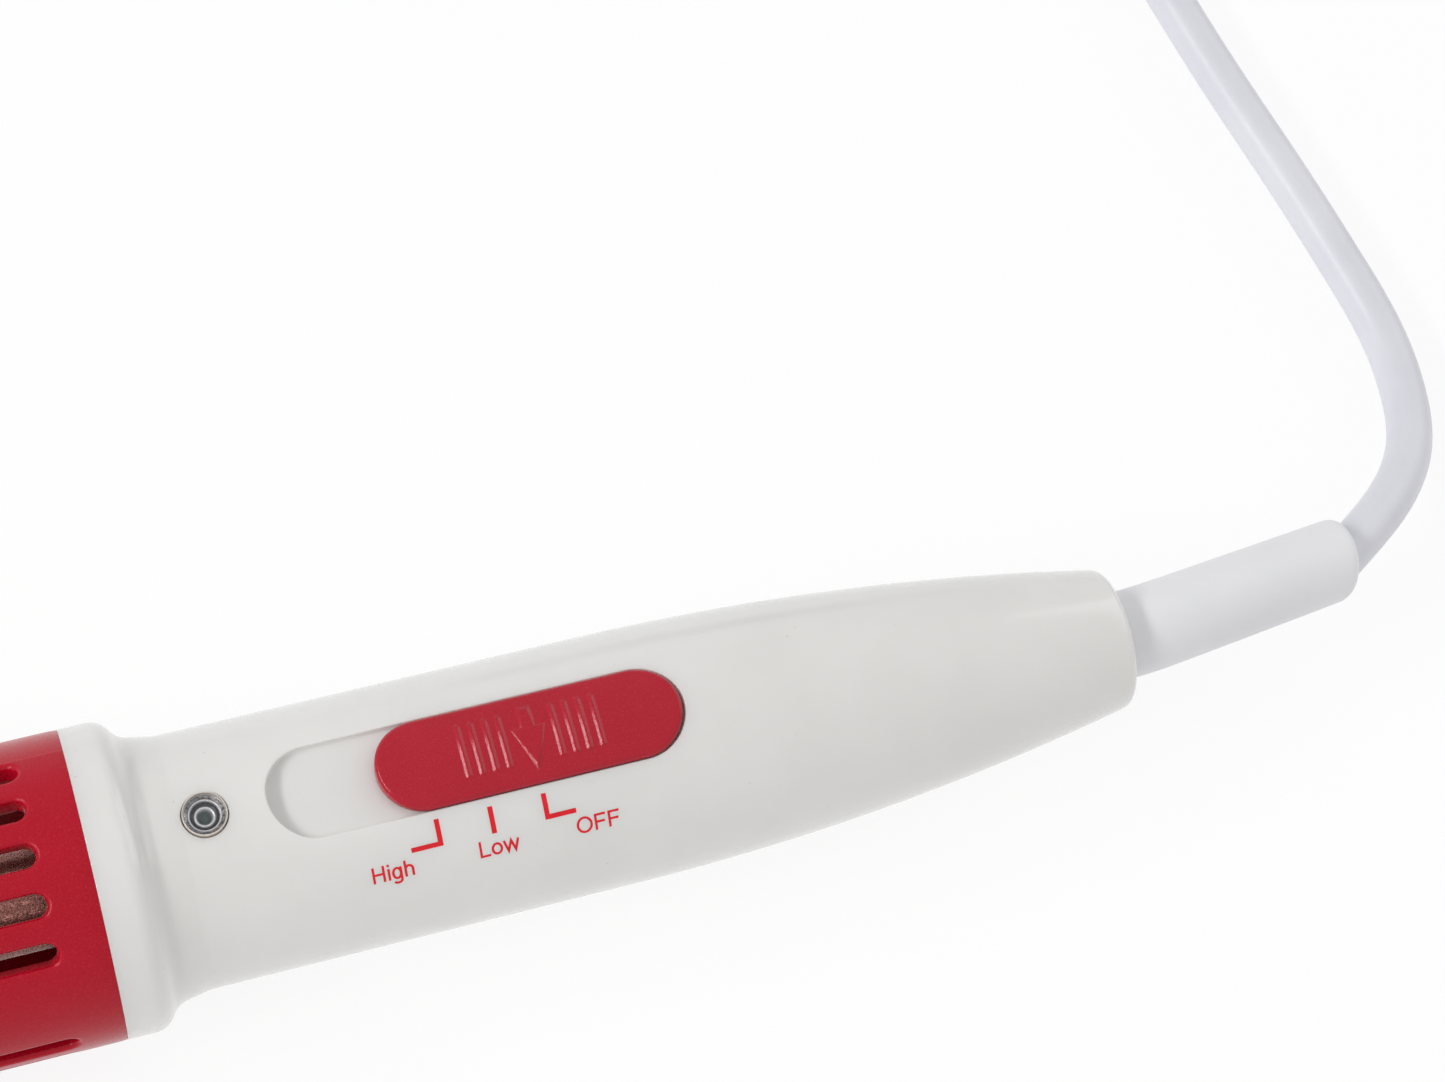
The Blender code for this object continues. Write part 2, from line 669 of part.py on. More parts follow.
def build_heater(root, steel, mica, ceramic, brass, wire):
    """Barrel tube with its heater, insulating sleeve, fixing flange and tip bush."""
    bore = BARREL_R + GAP
    hub_end = PLATE_BACK + HUB_LENGTH
    outline = [(PLATE_FRONT, bore), (PLATE_FRONT, RECESS_R - GAP),
               (PLATE_BACK, RECESS_R - GAP), (PLATE_BACK, bore + HUB_WALL),
               (hub_end, bore + HUB_WALL), (hub_end, bore)]
    flange = add("heater_flange", turned(outline, 36, closed=True), steel, root)

    centres = [(SCREW_CIRCLE_R * math.sin(math.tau * k / FLANGE_SCREWS),
                SCREW_CIRCLE_R * math.cos(math.tau * k / FLANGE_SCREWS))
               for k in range(FLANGE_SCREWS)]
    under_head = PLATE_FRONT - GAP
    depth = SCREW_LENGTH + GAP
    bores = []
    for y, z in centres:
        hole = turned([(0, 0), (0, SCREW_R + GAP), (depth + OVERRUN, SCREW_R + GAP),
                       (depth + OVERRUN, 0)], 12)
        bores.append(moved(hole, (under_head - OVERRUN, y, z)))
    screw_holes = add("screw_hole_tool", joined(bores), steel, root)
    combine(flange, screw_holes)
    screw = [(-SCREW_HEAD_THICK, 0), (-SCREW_HEAD_THICK, SCREW_HEAD_R), (0, SCREW_HEAD_R),
             (0, SCREW_R), (SCREW_LENGTH, SCREW_R), (SCREW_LENGTH, 0)]
    first = None
    for k, (y, z) in enumerate(centres):
        name = f"flange_screw_{k + 1}"
        if first is None:
            first = add(name, turned(screw, 12), steel, root, (under_head, y, z))
        else:
            again(name, first.data, root, (under_head, y, z))

    def pipe(name, start, end, inner, outer, skin_material, sides=32):
        outline = [(start, inner), (start, outer), (end, outer), (end, inner)]
        return add(name, turned(outline, sides, closed=True), skin_material, root)

    pipe("barrel_tube", -BARREL_LENGTH, BARREL_TAIL, BARREL_R - BARREL_WALL, BARREL_R, steel)
    pipe("insulating_sleeve", -SLEEVE_LENGTH, under_head, bore, bore + SLEEVE_WALL, mica)
    inside = BARREL_R - BARREL_WALL - GAP
    core_front = BUSH_BACK + CORE_SPARE
    core = rounded([(core_front, 0, 0), (core_front, inside, STUD_EDGE),
                    (CORE_TAIL, inside, STUD_EDGE), (CORE_TAIL, 0, 0)], 1)
    add("heater_core", turned(core, 24), ceramic, root)

    thread = STUD_R + GAP
    floor = BUSH_BACK - BUSH_FLOOR
    outline = rounded([(floor, 0, 0), (floor, thread, 0), (BUSH_FACE, thread, 0),
                       (BUSH_FACE, BUSH_R, BUSH_EDGE), (BARREL_FACE, BUSH_R, BUSH_EDGE),
                       (BARREL_FACE, inside, 0), (BUSH_BACK, inside, 0),
                       (BUSH_BACK, 0, 0)], 1)
    add("barrel_bush", turned(outline, 32), brass, root)

    lead_end = (BOARD_START - GAP, LEAD_SPREAD + LEAD_R, BOARD_UNDER + LEAD_R)
    for name, side in (("heater_lead_live", 1), ("heater_lead_neutral", -1)):
        route = [(CORE_TAIL + GAP, side * LEAD_SPREAD, 0),
                 (BARREL_TAIL + GAP, side * LEAD_SPREAD, 0),
                 ((BARREL_TAIL + BOARD_START) / 2, side * lead_end[1], BOARD_UNDER / 2),
                 (lead_end[0], side * lead_end[1], lead_end[2])]
        line = smooth_curve(route, (1, 0, 0), (1, 0, 0), LEAD_R * 2)
        add(name, tube(line, [LEAD_R] * len(line), 8), wire, root)
    return screw_holes


def build_tip(root, steel, polished):
    """Ironing shoe with its neck, threaded stud and lock nut. It pulls out forwards."""
    tip = empty("tip_frame", root, (BOSS_BACK, 0, 0))
    thread = STUD_R + GAP
    stud_back = BUSH_BACK - BUSH_FLOOR - GAP - BOSS_BACK
    stud_front = -(BOSS_BORE_DEPTH - GAP)
    outline = rounded([(stud_front, 0, 0), (stud_front, STUD_R, STUD_EDGE),
                       (stud_back, STUD_R, STUD_EDGE), (stud_back, 0, 0)], 1)
    add("tip_stud", turned(outline, 20), steel, tip)

    bore = turned([(0, 0), (0, thread), (NUT_THICK + 2 * OVERRUN, thread),
                   (NUT_THICK + 2 * OVERRUN, 0)], 20)
    nut_r = NUT_ACROSS / 2 / math.cos(math.pi / 6)
    chamfer = (nut_r - NUT_ACROSS / 2) / 2
    hexagon = turned([(0, 0), (0, nut_r), (NUT_THICK, nut_r), (NUT_THICK, 0)], 6)
    nut = add("lock_nut", hexagon, steel, tip, (GAP, 0, 0))
    dome = turned([(-OVERRUN, 0), (-OVERRUN, nut_r - chamfer - OVERRUN),
                   (NUT_THICK / 2, nut_r + NUT_THICK / 2 - chamfer),
                   (NUT_THICK + OVERRUN, nut_r - chamfer - OVERRUN),
                   (NUT_THICK + OVERRUN, 0)], 32)
    combine(nut, add("nut_shape_tool", dome, steel, tip, (GAP, 0, 0)), "INTERSECT")
    combine(nut, add("nut_bore_tool", bore, steel, tip, (GAP - OVERRUN, 0, 0)))

    toe = Vector((-math.cos(SOLE_TILT), 0, math.sin(SOLE_TILT)))
    upward = Vector((math.sin(SOLE_TILT), 0, math.cos(SOLE_TILT)))
    centre = Vector((-BOSS_LENGTH, 0, -SHOE_DROP))
    rings = []
    for height, scale in SHOE_LEVEL_SHARES:
        level = centre + upward * SHOE_HEIGHT * height
        rings.append([level + toe * SHOE_LENGTH * scale * x
                      + Vector((0, SHOE_WIDTH * scale * y, 0))
                      for x, y in teardrop(SHOE_OUTLINE_STEPS)])
    shoe = add("tip_shoe", skin(rings), polished, tip)
    boss = rounded([(-BOSS_LENGTH, 0, 0), (-BOSS_LENGTH, BOSS_R, BUSH_EDGE),
                    (0, BOSS_R, BUSH_EDGE), (0, 0, 0)], 2)
    combine(shoe, add("boss_tool", turned(boss, 28), polished, tip), "UNION")
    socket = turned([(-BOSS_BORE_DEPTH, 0), (-BOSS_BORE_DEPTH, thread), (OVERRUN, thread),
                     (OVERRUN, 0)], 20)
    combine(shoe, add("socket_tool", socket, polished, tip))


def build_switch(root, red, black, copper, steel):
    """Knob with raised ribs and a raised arrow, its carrier under the slot floor, wiper
    and detent."""
    slider = empty("switch_frame", root, (KNOB_AT, 0, 0))
    under = SLOT_FLOOR_Z + GAP
    top = GRIP_R + KNOB_PROUD
    body = prism(stadium(KNOB_LENGTH, KNOB_WIDTH, 12), under, top + OVERRUN)
    knob = add("slide_knob", body, red, slider)

    def crown(name, radius, length):
        outline = [(-length / 2, 0), (-length / 2, radius), (length / 2, radius),
                   (length / 2, 0)]
        return add(name, turned(outline, 64), red, slider)

    combine(knob, crown("crown_tool", top, KNOB_LENGTH + OVERRUN), "INTERSECT")
    relief = [prism(arrow(), top - RIB_LENGTH / 6, top + OVERRUN)]
    for side in (1, -1):
        for k in range(RIB_COUNT):
            across = [(y, x) for x, y in stadium(RIB_LENGTH, RIB_WIDTH, 4)]
            rib = prism(across, top - RIB_LENGTH / 6, top + OVERRUN)
            relief.append(moved(rib, (side * (RIB_FIRST + k * RIB_PITCH), 0, 0)))
    raised = add("relief_tool", joined(relief), red, slider)
    combine(raised, crown("relief_crown_tool", top + RIB_HEIGHT, KNOB_LENGTH), "INTERSECT")
    combine(knob, raised, "UNION")
    stem_low = CARRIER_UNDER + CARRIER_THICK / 2
    stem = prism(stadium(STEM_LENGTH, SLIT_WIDTH - 2 * GAP, 5), stem_low, under + GAP)
    combine(knob, add("stem_tool", stem, red, slider), "UNION")

    half_length, half_width = CARRIER_LENGTH / 2, CARRIER_WIDTH / 2
    plate = block((-half_length, -half_width, CARRIER_UNDER),
                  (half_length, half_width, CARRIER_UNDER + CARRIER_THICK))
    carrier = add("slide_carrier", plate, black, slider)
    socket = prism(stadium(STEM_LENGTH + 2 * GAP, SLIT_WIDTH, 5), CARRIER_UNDER - OVERRUN,
                   CARRIER_UNDER + CARRIER_THICK + OVERRUN)
    combine(carrier, add("stem_socket_tool", socket, black, slider))

    high = CARRIER_UNDER - GAP - WIPER_THICK / 2
    low = BOARD_TOP + GAP + CONTACT_THICK + GAP + WIPER_THICK / 2
    reach = half_length - WIPER_THICK
    path = rounded([(-reach, high, 0), (reach, high, WIPER_THICK * 2),
                    (0, low, WIPER_THICK * 4), (-reach / 2, (high + low) / 2, 0)], 3)
    add("wiper_contact", strip(path, WIPER_THICK, WIPER_WIDTH), copper, slider)

    side = half_width + GAP + LEAF_THICK / 2
    leaf = rounded([(-half_length, side, 0), (-half_length / 2, side, LEAF_RISE),
                    (0, side + LEAF_RISE, LEAF_RISE / 2), (half_length / 2, side, LEAF_RISE),
                    (half_length, side, 0)], 3)
    spring = strip(leaf, LEAF_THICK, LEAF_WIDTH)
    bmesh.ops.rotate(spring, verts=spring.verts, matrix=Matrix.Rotation(-math.pi / 2, 3, "X"))
    add("detent_leaf", spring, steel, slider, (0, 0, CARRIER_UNDER + LEAF_WIDTH / 2))


def build_electrics(root, board_stuff, copper, black, sand, clear, glow):
    """Board on the handle's rails with the contacts, the diode that halves the power
    at the low setting, and the neon lamp with its lens and resistor."""
    add("circuit_board",
        block((BOARD_START, -BOARD_WIDTH / 2, BOARD_UNDER),
              (BOARD_START + BOARD_LENGTH, BOARD_WIDTH / 2, BOARD_TOP)), board_stuff, root)
    low = BOARD_TOP + GAP
    inner = WIPER_WIDTH / 2 - CONTACT_WIDTH
    wiper_at = KNOB_AT

    def contact(name, start, length, side):
        edges = sorted((side * inner, side * (inner + CONTACT_WIDTH)))
        add(name, block((start, edges[0], low),
                        (start + length, edges[1], low + CONTACT_THICK)), copper, root)

    contact("common_contact", wiper_at + CONTACT_LENGTH - COMMON_LENGTH, COMMON_LENGTH, 1)
    for name, share in (("low_contact", 0.5), ("high_contact", 1.0)):
        start = wiper_at - share * SWITCH_TRAVEL - CONTACT_LENGTH / 2
        contact(name, start, CONTACT_LENGTH, -1)

    for name, radius, length, side, stuff in (
            ("half_wave_diode", DIODE_R, DIODE_LENGTH, -1, black),
            ("lamp_resistor", RESISTOR_R, RESISTOR_LENGTH, 1, sand)):
        outline = rounded([(-length / 2, 0, 0), (-length / 2, radius, radius / 3),
                           (length / 2, radius, radius / 3), (length / 2, 0, 0)], 2)
        add(name, turned(outline, 16), stuff, root,
            (BOARD_START + PARTS_INSET, side * PARTS_SIDE, low + radius))

    top = GRIP_R + LENS_PROUD
    foot = top - LENS_DEPTH
    bore = LENS_R - LENS_WALL
    outline = [(foot, bore), (foot, LENS_FLANGE_R), (foot + LENS_FLANGE_THICK, LENS_FLANGE_R),
               (foot + LENS_FLANGE_THICK, LENS_R), (top - LENS_DOME, LENS_R),
               (top - LENS_DOME / 3, LENS_R * 2 / 3), (top, 0)]
    outline = [(top - LENS_ROOF, 0), (top - LENS_ROOF, bore)] + outline
    add("indicator_lens", upright(turned(outline, 24)), clear, root, (LAMP_AT, 0, 0))
    neon_r = bore - GAP
    neon_top = top - LENS_ROOF - GAP
    bulb = rounded([(neon_top - NEON_LENGTH, 0, 0), (neon_top - NEON_LENGTH, neon_r, 0),
                    (neon_top, neon_r, neon_r), (neon_top, 0, 0)], 4)
    add("neon_lamp", upright(turned(bulb, 16)), glow, root, (LAMP_AT, 0, 0))


def build_relief(root, milk, white, steel, wire):
    """Strain relief held behind the tail wall, and the cord's end inside the handle. The
    cord leaves the relief at a slant, from a mouth that is bored along its own line."""
    path, way = relief_path()
    radii = [RELIEF_FLANGE_R, RELIEF_FLANGE_R, RELIEF_R]
    path.insert(2, path[1] + (path[2] - path[1]) * GAP)
    radii.insert(2, RELIEF_R)
    run = len(path) - len(radii)
    radii += [RELIEF_R + (RELIEF_END_R - RELIEF_R) * (k + 1) / run * 0.5 for k in range(run)]
    radii[-1] = RELIEF_END_R
    last = path[-1]
    for step in (1, 2, 3, 4):
        bend = math.pi / 2 * step / 4
        path.append(last + way * RELIEF_EDGE_R * math.sin(bend))
        radii.append(RELIEF_END_R - RELIEF_EDGE_R * (1 - math.cos(bend)))
    relief = add("strain_relief", tube(path, radii, 20), milk, root)
    leave = Vector((math.cos(CORD_YAW) * math.cos(CORD_DROOP),
                    math.sin(CORD_YAW) * math.cos(CORD_DROOP), -math.sin(CORD_DROOP)))
    bottom = path[-1] - leave * CORD_MOUTH_DEPTH
    mouth = tube([bottom, path[-1] + leave * (CORD_D + OVERRUN)], [CORD_D / 2 + GAP] * 2, 16)
    combine(relief, add("mouth_tool", mouth, milk, root))

    face = SHOULDER_AT - RELIEF_FLANGE_THICK - 2 * GAP
    front = face - INNER_CORD_LENGTH
    outline = [(front, 0), (front, CORD_D / 2), (face, CORD_D / 2), (face, 0)]
    add("cord_inner_end", turned(outline, 20), white, root)
    middle = (front + face) / 2
    bore = CORD_D / 2 + GAP
    outline = [(middle - CRIMP_LENGTH / 2, bore), (middle - CRIMP_LENGTH / 2, bore + CRIMP_WALL),
               (middle + CRIMP_LENGTH / 2, bore + CRIMP_WALL), (middle + CRIMP_LENGTH / 2, bore)]
    add("cord_crimp", turned(outline, 20, closed=True), steel, root)

    board_end = BOARD_START + BOARD_LENGTH + GAP
    for name, side in (("cord_core_live", 1), ("cord_core_neutral", -1)):
        spread = side * (CORD_D / 4)
        route = [(board_end, 2 * spread, BOARD_UNDER + CONDUCTOR_R),
                 ((board_end * 2 + front) / 3, 2 * spread, BOARD_UNDER),
                 ((board_end + front * 2) / 3, spread, 0),
                 (front - GAP, spread, 0)]
        line = smooth_curve(route, (1, 0, 0), (1, 0, 0), CONDUCTOR_R * 3)
        add(name, tube(line, [CONDUCTOR_R] * len(line), 8), wire, root)
    return bottom + leave * GAP, leave


def build_cord(root, start, leave, cord_white, black, brass):
    """Cord on the table, its neat coil with a tie, and the flat plug beside it."""
    coil, way_in, way_out = coil_path()
    out = start + leave * CORD_MOUTH_DEPTH
    end = coil[0] - way_in * GAP
    route = [(x, y, TABLE + height) for x, y, height in VIEW_ROUTE]
    line = smooth_curve([tuple(out), *route, end - way_in * CORD_D], tuple(leave), way_in,
                        RUN_STEP_DIAMETERS * CORD_D)
    line[:, 2] = np.maximum(line[:, 2], TABLE + CORD_D / 2)
    run = np.concatenate([[tuple(start)], line, [end]])
    cord_tube("mains_cord", run, cord_white, root, 2)
    cord_tube("cord_coil", coil, cord_white, root, 1)

    plug_z = TABLE + PLUG_THICK / 2
    plug_back = coil[-1] + way_out * (LEAD_OUT + GAP)
    drop = plug_z - coil[-1][2]
    lead_start = coil[-1] + way_out * GAP
    route = [lead_start, lead_start + way_out * CORD_D]
    for along, down in LEAD_DROP_SHARES:
        if along * LEAD_OUT > CORD_D:
            point = coil[-1] + way_out * LEAD_OUT * along
            route.append(point + np.array((0, 0, drop * down)))
    route.append(plug_back + np.array((0, 0, drop)) - way_out * (CORD_D + GAP))
    lead = smooth_curve(route[1:], way_out, way_out, RUN_STEP_DIAMETERS * CORD_D)
    lead = np.concatenate([[route[0]], lead,
                           [plug_back + np.array((0, 0, drop)) - way_out * GAP]])
    cord_tube("plug_lead", lead, cord_white, root, 2)
    gap = least_gap(coil, CORD_D, COIL_POINTS // 2)
    total = path_length(run) + path_length(coil) + path_length(lead)
    print(f"least gap of the coil to itself {gap * 1000:.2f} mm")
    print(f"free length of the cord {total:.3f} m")

    swing = COIL_PITCH * COIL_TURNS / COIL_LAYERS / 2
    half = swing + CORD_D / 2 + GAP
    tall = COIL_PITCH * (COIL_LAYERS - 1) + CORD_D + 2 * GAP
    outer = half + TIE_THICK
    low = -TIE_THICK

    def loop(side, bottom, height, fillet):
        corners = [(0, bottom, 0), (side, bottom, fillet), (side, height, fillet),
                   (-side, height, fillet), (-side, bottom, fillet), (0, bottom, 0)]
        return rounded(corners, 3)[:-1]

    band = prism(loop(outer, low, tall + TIE_THICK, TIE_EDGE_R), -TIE_WIDTH / 2, TIE_WIDTH / 2)
    hole = prism(loop(half, 0, tall, TIE_EDGE_R - TIE_THICK), -TIE_WIDTH, TIE_WIDTH)
    place = (COIL_CENTRE[0] + COIL_MEAN_R * math.cos(TIE_AT),
             COIL_CENTRE[1] + COIL_MEAN_R * math.sin(TIE_AT), TABLE + TIE_THICK)
    tie = add("coil_tie", band, black, root, place)
    tool = add("tie_hole_tool", hole, black, root, place)
    for piece in (tie, tool):
        piece.rotation_euler = (math.pi / 2, 0, TIE_AT)
    combine(tie, tool)

    heading = math.atan2(way_out[1], way_out[0])
    frame = empty("plug_frame", root, (plug_back[0], plug_back[1], plug_z))
    frame.rotation_euler = (0, 0, heading)
    ridge = PLUG_RELIEF_LENGTH / 9
    outline = [(0, 0)]
    for k in range(4):
        grow = (PLUG_RELIEF_R - CORD_D / 2) * (0.45 + 0.13 * k)
        outline += [(2 * k * ridge, CORD_D / 2 + grow), ((2 * k + 1) * ridge, CORD_D / 2 + grow),
                    ((2 * k + 1) * ridge, CORD_D / 2 + grow / 2),
                    ((2 * k + 2) * ridge, CORD_D / 2 + grow / 2)]
    outline += [(8 * ridge, PLUG_RELIEF_R), (PLUG_RELIEF_LENGTH, PLUG_RELIEF_R),
                (PLUG_RELIEF_LENGTH, 0)]
    add("plug_relief", turned(outline, 16), black, frame)
    body_at = PLUG_RELIEF_LENGTH + GAP
    rings = []
    for along, wide, thick in PLUG_STATION_SHARES:
        ring = []
        for k in range(PLUG_SECTION_STEPS):
            angle = math.tau * k / PLUG_SECTION_STEPS
            c, s = math.cos(angle), math.sin(angle)
            ring.append((body_at + PLUG_LENGTH * along,
                         PLUG_WIDTH / 2 * wide * math.copysign(abs(c) ** 0.5, c),
                         PLUG_THICK / 2 * thick * math.copysign(abs(s) ** 0.5, s)))
        rings.append(ring)
    body = add("plug_body", skin(rings), black, frame)
    root_at = body_at + PLUG_LENGTH - PIN_ROOT
    holes = []
    pin = rounded([(0, 0, 0), (0, PIN_R, 0), (PIN_ROOT + PIN_LENGTH, PIN_R, PIN_EDGE),
                   (PIN_ROOT + PIN_LENGTH, 0, 0)], 3)
    first = None
    for k, side in enumerate((1, -1)):
        hole = turned([(0, 0), (0, PIN_R + GAP), (PIN_ROOT + OVERRUN + GAP, PIN_R + GAP),
                       (PIN_ROOT + OVERRUN + GAP, 0)], 16)
        place = (root_at, side * PIN_SPACING / 2, 0)
        holes.append(moved(hole, (root_at - GAP, place[1], 0)))
        name = f"plug_pin_{k + 1}"
        if first is None:
            first = add(name, turned(pin, 16), brass, frame, place)
        else:
            again(name, first.data, frame, place)
    combine(body, add("pin_hole_tool", joined(holes), black, frame))


def main():
    for old in list(bpy.data.objects):
        bpy.data.objects.remove(old, do_unlink=True)

    white = material("warm_white_plastic", (0.80, 0.80, 0.77), 0.22)
    red = material("red_heat_plastic", (0.55, 0.02, 0.04), 0.45)
    milk = material("milky_pvc", (0.83, 0.84, 0.86), 0.45)
    cord_white = material("white_cord_pvc", (0.80, 0.82, 0.87), 0.40)
    steel = material("nickel_steel", (0.62, 0.61, 0.58), 0.30, 1.0)
    polished = material("polished_sole", (0.72, 0.71, 0.69), 0.16, 1.0)
    brass = material("nickel_brass", (0.72, 0.66, 0.50), 0.28, 1.0)
    copper = material("contact_copper", (0.72, 0.42, 0.26), 0.35, 1.0)
    mica = material("brown_mica", (0.10, 0.06, 0.05), 0.65)
    ceramic = material("heater_ceramic", (0.72, 0.70, 0.64), 0.80)
    black = material("black_plastic", (0.02, 0.02, 0.02), 0.45)
    board_stuff = material("brown_board", (0.24, 0.12, 0.05), 0.60)
    sand = material("sand_resistor", (0.62, 0.50, 0.34), 0.55)
    wire = material("white_wire", (0.75, 0.73, 0.68), 0.50)
    clear = material("clear_lens", (0.80, 0.82, 0.84), 0.08, alpha=0.45)
    glow = material("neon_glass", (0.70, 0.36, 0.26), 0.12)

    root = empty("iron_frame", None, (SEAM_X, 0, AXIS_HEIGHT))
    ground = block((-GUARD_LENGTH - OVERRUN, -COLLAR_R, TABLE - OVERRUN),
                   (COLLAR_LENGTH + COLLAR_SLOPE, COLLAR_R, TABLE))
    tools = {"ground": add("ground_tool", ground, white, root)}
    tools["screw_holes"] = build_heater(root, steel, mica, ceramic, brass, wire)
    build_handle(root, white, tools)
    build_guard(root, red, tools)
    build_tip(root, steel, polished)
    build_switch(root, red, black, copper, steel)
    build_electrics(root, board_stuff, copper, black, sand, clear, glow)
    start, leave = build_relief(root, milk, cord_white, steel, wire)
    build_cord(root, start, leave, cord_white, cord_white, brass)


main()
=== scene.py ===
"""The looks of a mini craft iron: white turned handle with its red switch, slotted red
heat guard, heated barrel with the ironing shoe, and the mains cord on the table.

Lengths are in metres. Along the iron, places count from the seam between the guard and
the handle, towards the cord; the shapes are worked out there and then moved into the
frame of the solids, whose sizes they repeat."""

import math

import bpy
import numpy as np
from mathutils import Matrix, Vector


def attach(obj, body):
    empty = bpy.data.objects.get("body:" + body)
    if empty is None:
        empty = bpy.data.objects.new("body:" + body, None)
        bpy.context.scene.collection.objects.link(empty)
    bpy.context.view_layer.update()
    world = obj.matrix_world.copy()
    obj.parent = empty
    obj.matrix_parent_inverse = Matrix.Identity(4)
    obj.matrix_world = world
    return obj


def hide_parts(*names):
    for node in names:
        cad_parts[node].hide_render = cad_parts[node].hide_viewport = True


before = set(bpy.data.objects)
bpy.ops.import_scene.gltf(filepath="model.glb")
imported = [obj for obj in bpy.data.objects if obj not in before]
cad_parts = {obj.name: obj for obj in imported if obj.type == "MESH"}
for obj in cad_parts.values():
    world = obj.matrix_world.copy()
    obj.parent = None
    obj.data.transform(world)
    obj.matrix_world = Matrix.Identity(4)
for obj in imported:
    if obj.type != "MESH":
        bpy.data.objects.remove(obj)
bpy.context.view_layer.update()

# The solids' own sizes
SEAM_X = -0.023622
AXIS_Z = 0.0173
GAP = 0.0003
COLLAR_R = 0.0178
COLLAR_LENGTH = 0.0047
COLLAR_EDGE_R = 0.0027
COLLAR_FOOT = 0.0063
COLLAR_FOOT_R = 0.0027
NECK_LENGTH = 0.0040
NECK_R = 0.01535
GRIP_R = 0.0146
GRIP_END = 0.0600
HANDLE_LENGTH = 0.1230
TAIL_R = 0.0083
TAIL_EDGE_R = 0.0020
SEAM_HALF = 0.00001
RIM_EDGE_R = 0.00010
GUARD_EASE = 0.00006
WALL = 0.0022
RECESS_R = 0.0159
RECESS_DEPTH = 0.0043
SCREW_RING_R = 0.0109
SCREW_RING_LENGTH = 0.0034
SCREW_RING_SLOPE = 0.0012
SLOT_WALL = 0.0016
SLAB_UNDER_Z = 0.01135
TAIL_WALL = 0.0036
SLOT_START = 0.0201
SLOT_LENGTH = 0.0478
SLOT_WIDTH = 0.0108
SLOT_FLOOR_Z = 0.01275
KNOB_LENGTH = 0.03525
KNOB_WIDTH = 0.0106
KNOB_AT = 0.0500
KNOB_TOP = 0.01505
RIB_COUNT = 4
RIB_PITCH = 0.00156
RIB_FIRST = 0.00305
RIB_LENGTH = 0.0067
RIB_WIDTH = 0.0009
RIB_HEIGHT = 0.00021
RIB_FLANK = 0.00038
ARROW_LENGTH = 0.0076
ARROW_HEAD_LENGTH = 0.0050
ARROW_HEAD_WIDTH = 0.0037
ARROW_STEM_WIDTH = 0.0015
ARROW_TOP_R = 0.0240
ARROW_SHIFT = -0.00027
ARROW_RISE = 0.00015
ARROW_OUTSET = 0.00016
ARROW_SLOPE = 0.55
MARK_WIDTH = 0.00056
INK_WIDTH = 0.00027
WORD_HEAD = 40.5
WORD_FOOT = 48.3
LAMP_AT = 0.0132
LENS_R = 0.00235
LENS_TOP = 0.0150
LENS_MOUTH_R = 0.00252
LAMP_EDGE_R = 0.00010
GUARD_LENGTH = 0.0410
GUARD_WALL = 0.0020
GUARD_NOSE_LENGTH = 0.0072
GUARD_NOSE_R = 0.0126
GUARD_SHOULDER_R = 0.0060
GUARD_NOSE_EDGE_R = 0.0015
GUARD_MOUTH_R = 0.0070
VENT_WIDTH = 0.0026
VENT_LENGTH = 0.0256
VENT_START = 0.0054
VENT_EDGE_R = 0.00065
TOP_VENTS = 5
SIDE_VENTS = 5
VENT_PITCH = math.radians(18.2)
VENT_STRIP = math.radians(47.2)
VENT_TURN = math.radians(-2.9)
BARREL_R = 0.0048
BARREL_LENGTH = 0.0717
SLEEVE_R = 0.00585
SLEEVE_LENGTH = 0.0360
BUSH_R = 0.0053
BUSH_LENGTH = 0.0047
STUD_R = 0.0023
STUD_FRONT = -0.0072
THREAD_PITCH = 0.0007
NUT_ACROSS = 0.0090
NUT_THICK = 0.0030
BOSS_R = 0.0042
BOSS_LENGTH = 0.0145
SOLE_TILT = math.radians(30)
SHOE_LENGTH = 0.0320
SHOE_WIDTH = 0.0200
SHOE_HEIGHT = 0.0066
SHOE_DROP = 0.0052
SHOE_LEVEL_SHARES = ((0.0, 0.96), (0.09, 1.0), (0.62, 0.97), (0.90, 0.84), (1.0, 0.74))
RELIEF_R = 0.0053
RELIEF_END_R = 0.0050
RELIEF_EDGE_R = 0.0016
RELIEF_LENGTH = 0.0329
RELIEF_FLANGE_R = 0.0063
RELIEF_FLANGE_THICK = 0.0018
RELIEF_BEND_LENGTH = 0.0060
RELIEF_YAW = math.radians(8.3)
RELIEF_DROOP = math.radians(7.0)
RELIEF_LEAN = 0.16
CORD_D = 0.0058
CORD_YAW = math.radians(33)
CORD_DROOP = math.radians(9)

# The cord's route on the table, as the solids have it: along, sideways and height
VIEW_ROUTE = (
    (0.1681, 0.0138, 0.0093),
    (0.1726, 0.0198, 0.0067),
    (0.1752, 0.0270, 0.0044),
    (0.1761, 0.0357, 0.0031),
    (0.1747, 0.0465, 0.0029),
    (0.1720, 0.0603, 0.0029),
    (0.1681, 0.0780, 0.0029),
    (0.1645, 0.0970, 0.0029),
    (0.1592, 0.1230, 0.0031),
)
COIL_CENTRE = (0.1050, 0.1595)
COIL_MEAN_R = 0.0345
COIL_PITCH = 0.0063
COIL_LAYERS = 4
COIL_TURNS = 10.25
COIL_START = math.radians(12)
LEAD_OUT = 0.0560
LEAD_DROP_SHARES = ((0.18, 0.02), (0.40, 0.24), (0.62, 0.66), (0.84, 0.95))
PLUG_LENGTH = 0.0360
PLUG_WIDTH = 0.0353
PLUG_THICK = 0.0137
PIN_R = 0.0020
PIN_LENGTH = 0.0190
PIN_SPACING = 0.0186
PLUG_RELIEF_LENGTH = 0.0180
PLUG_RELIEF_R = 0.0046
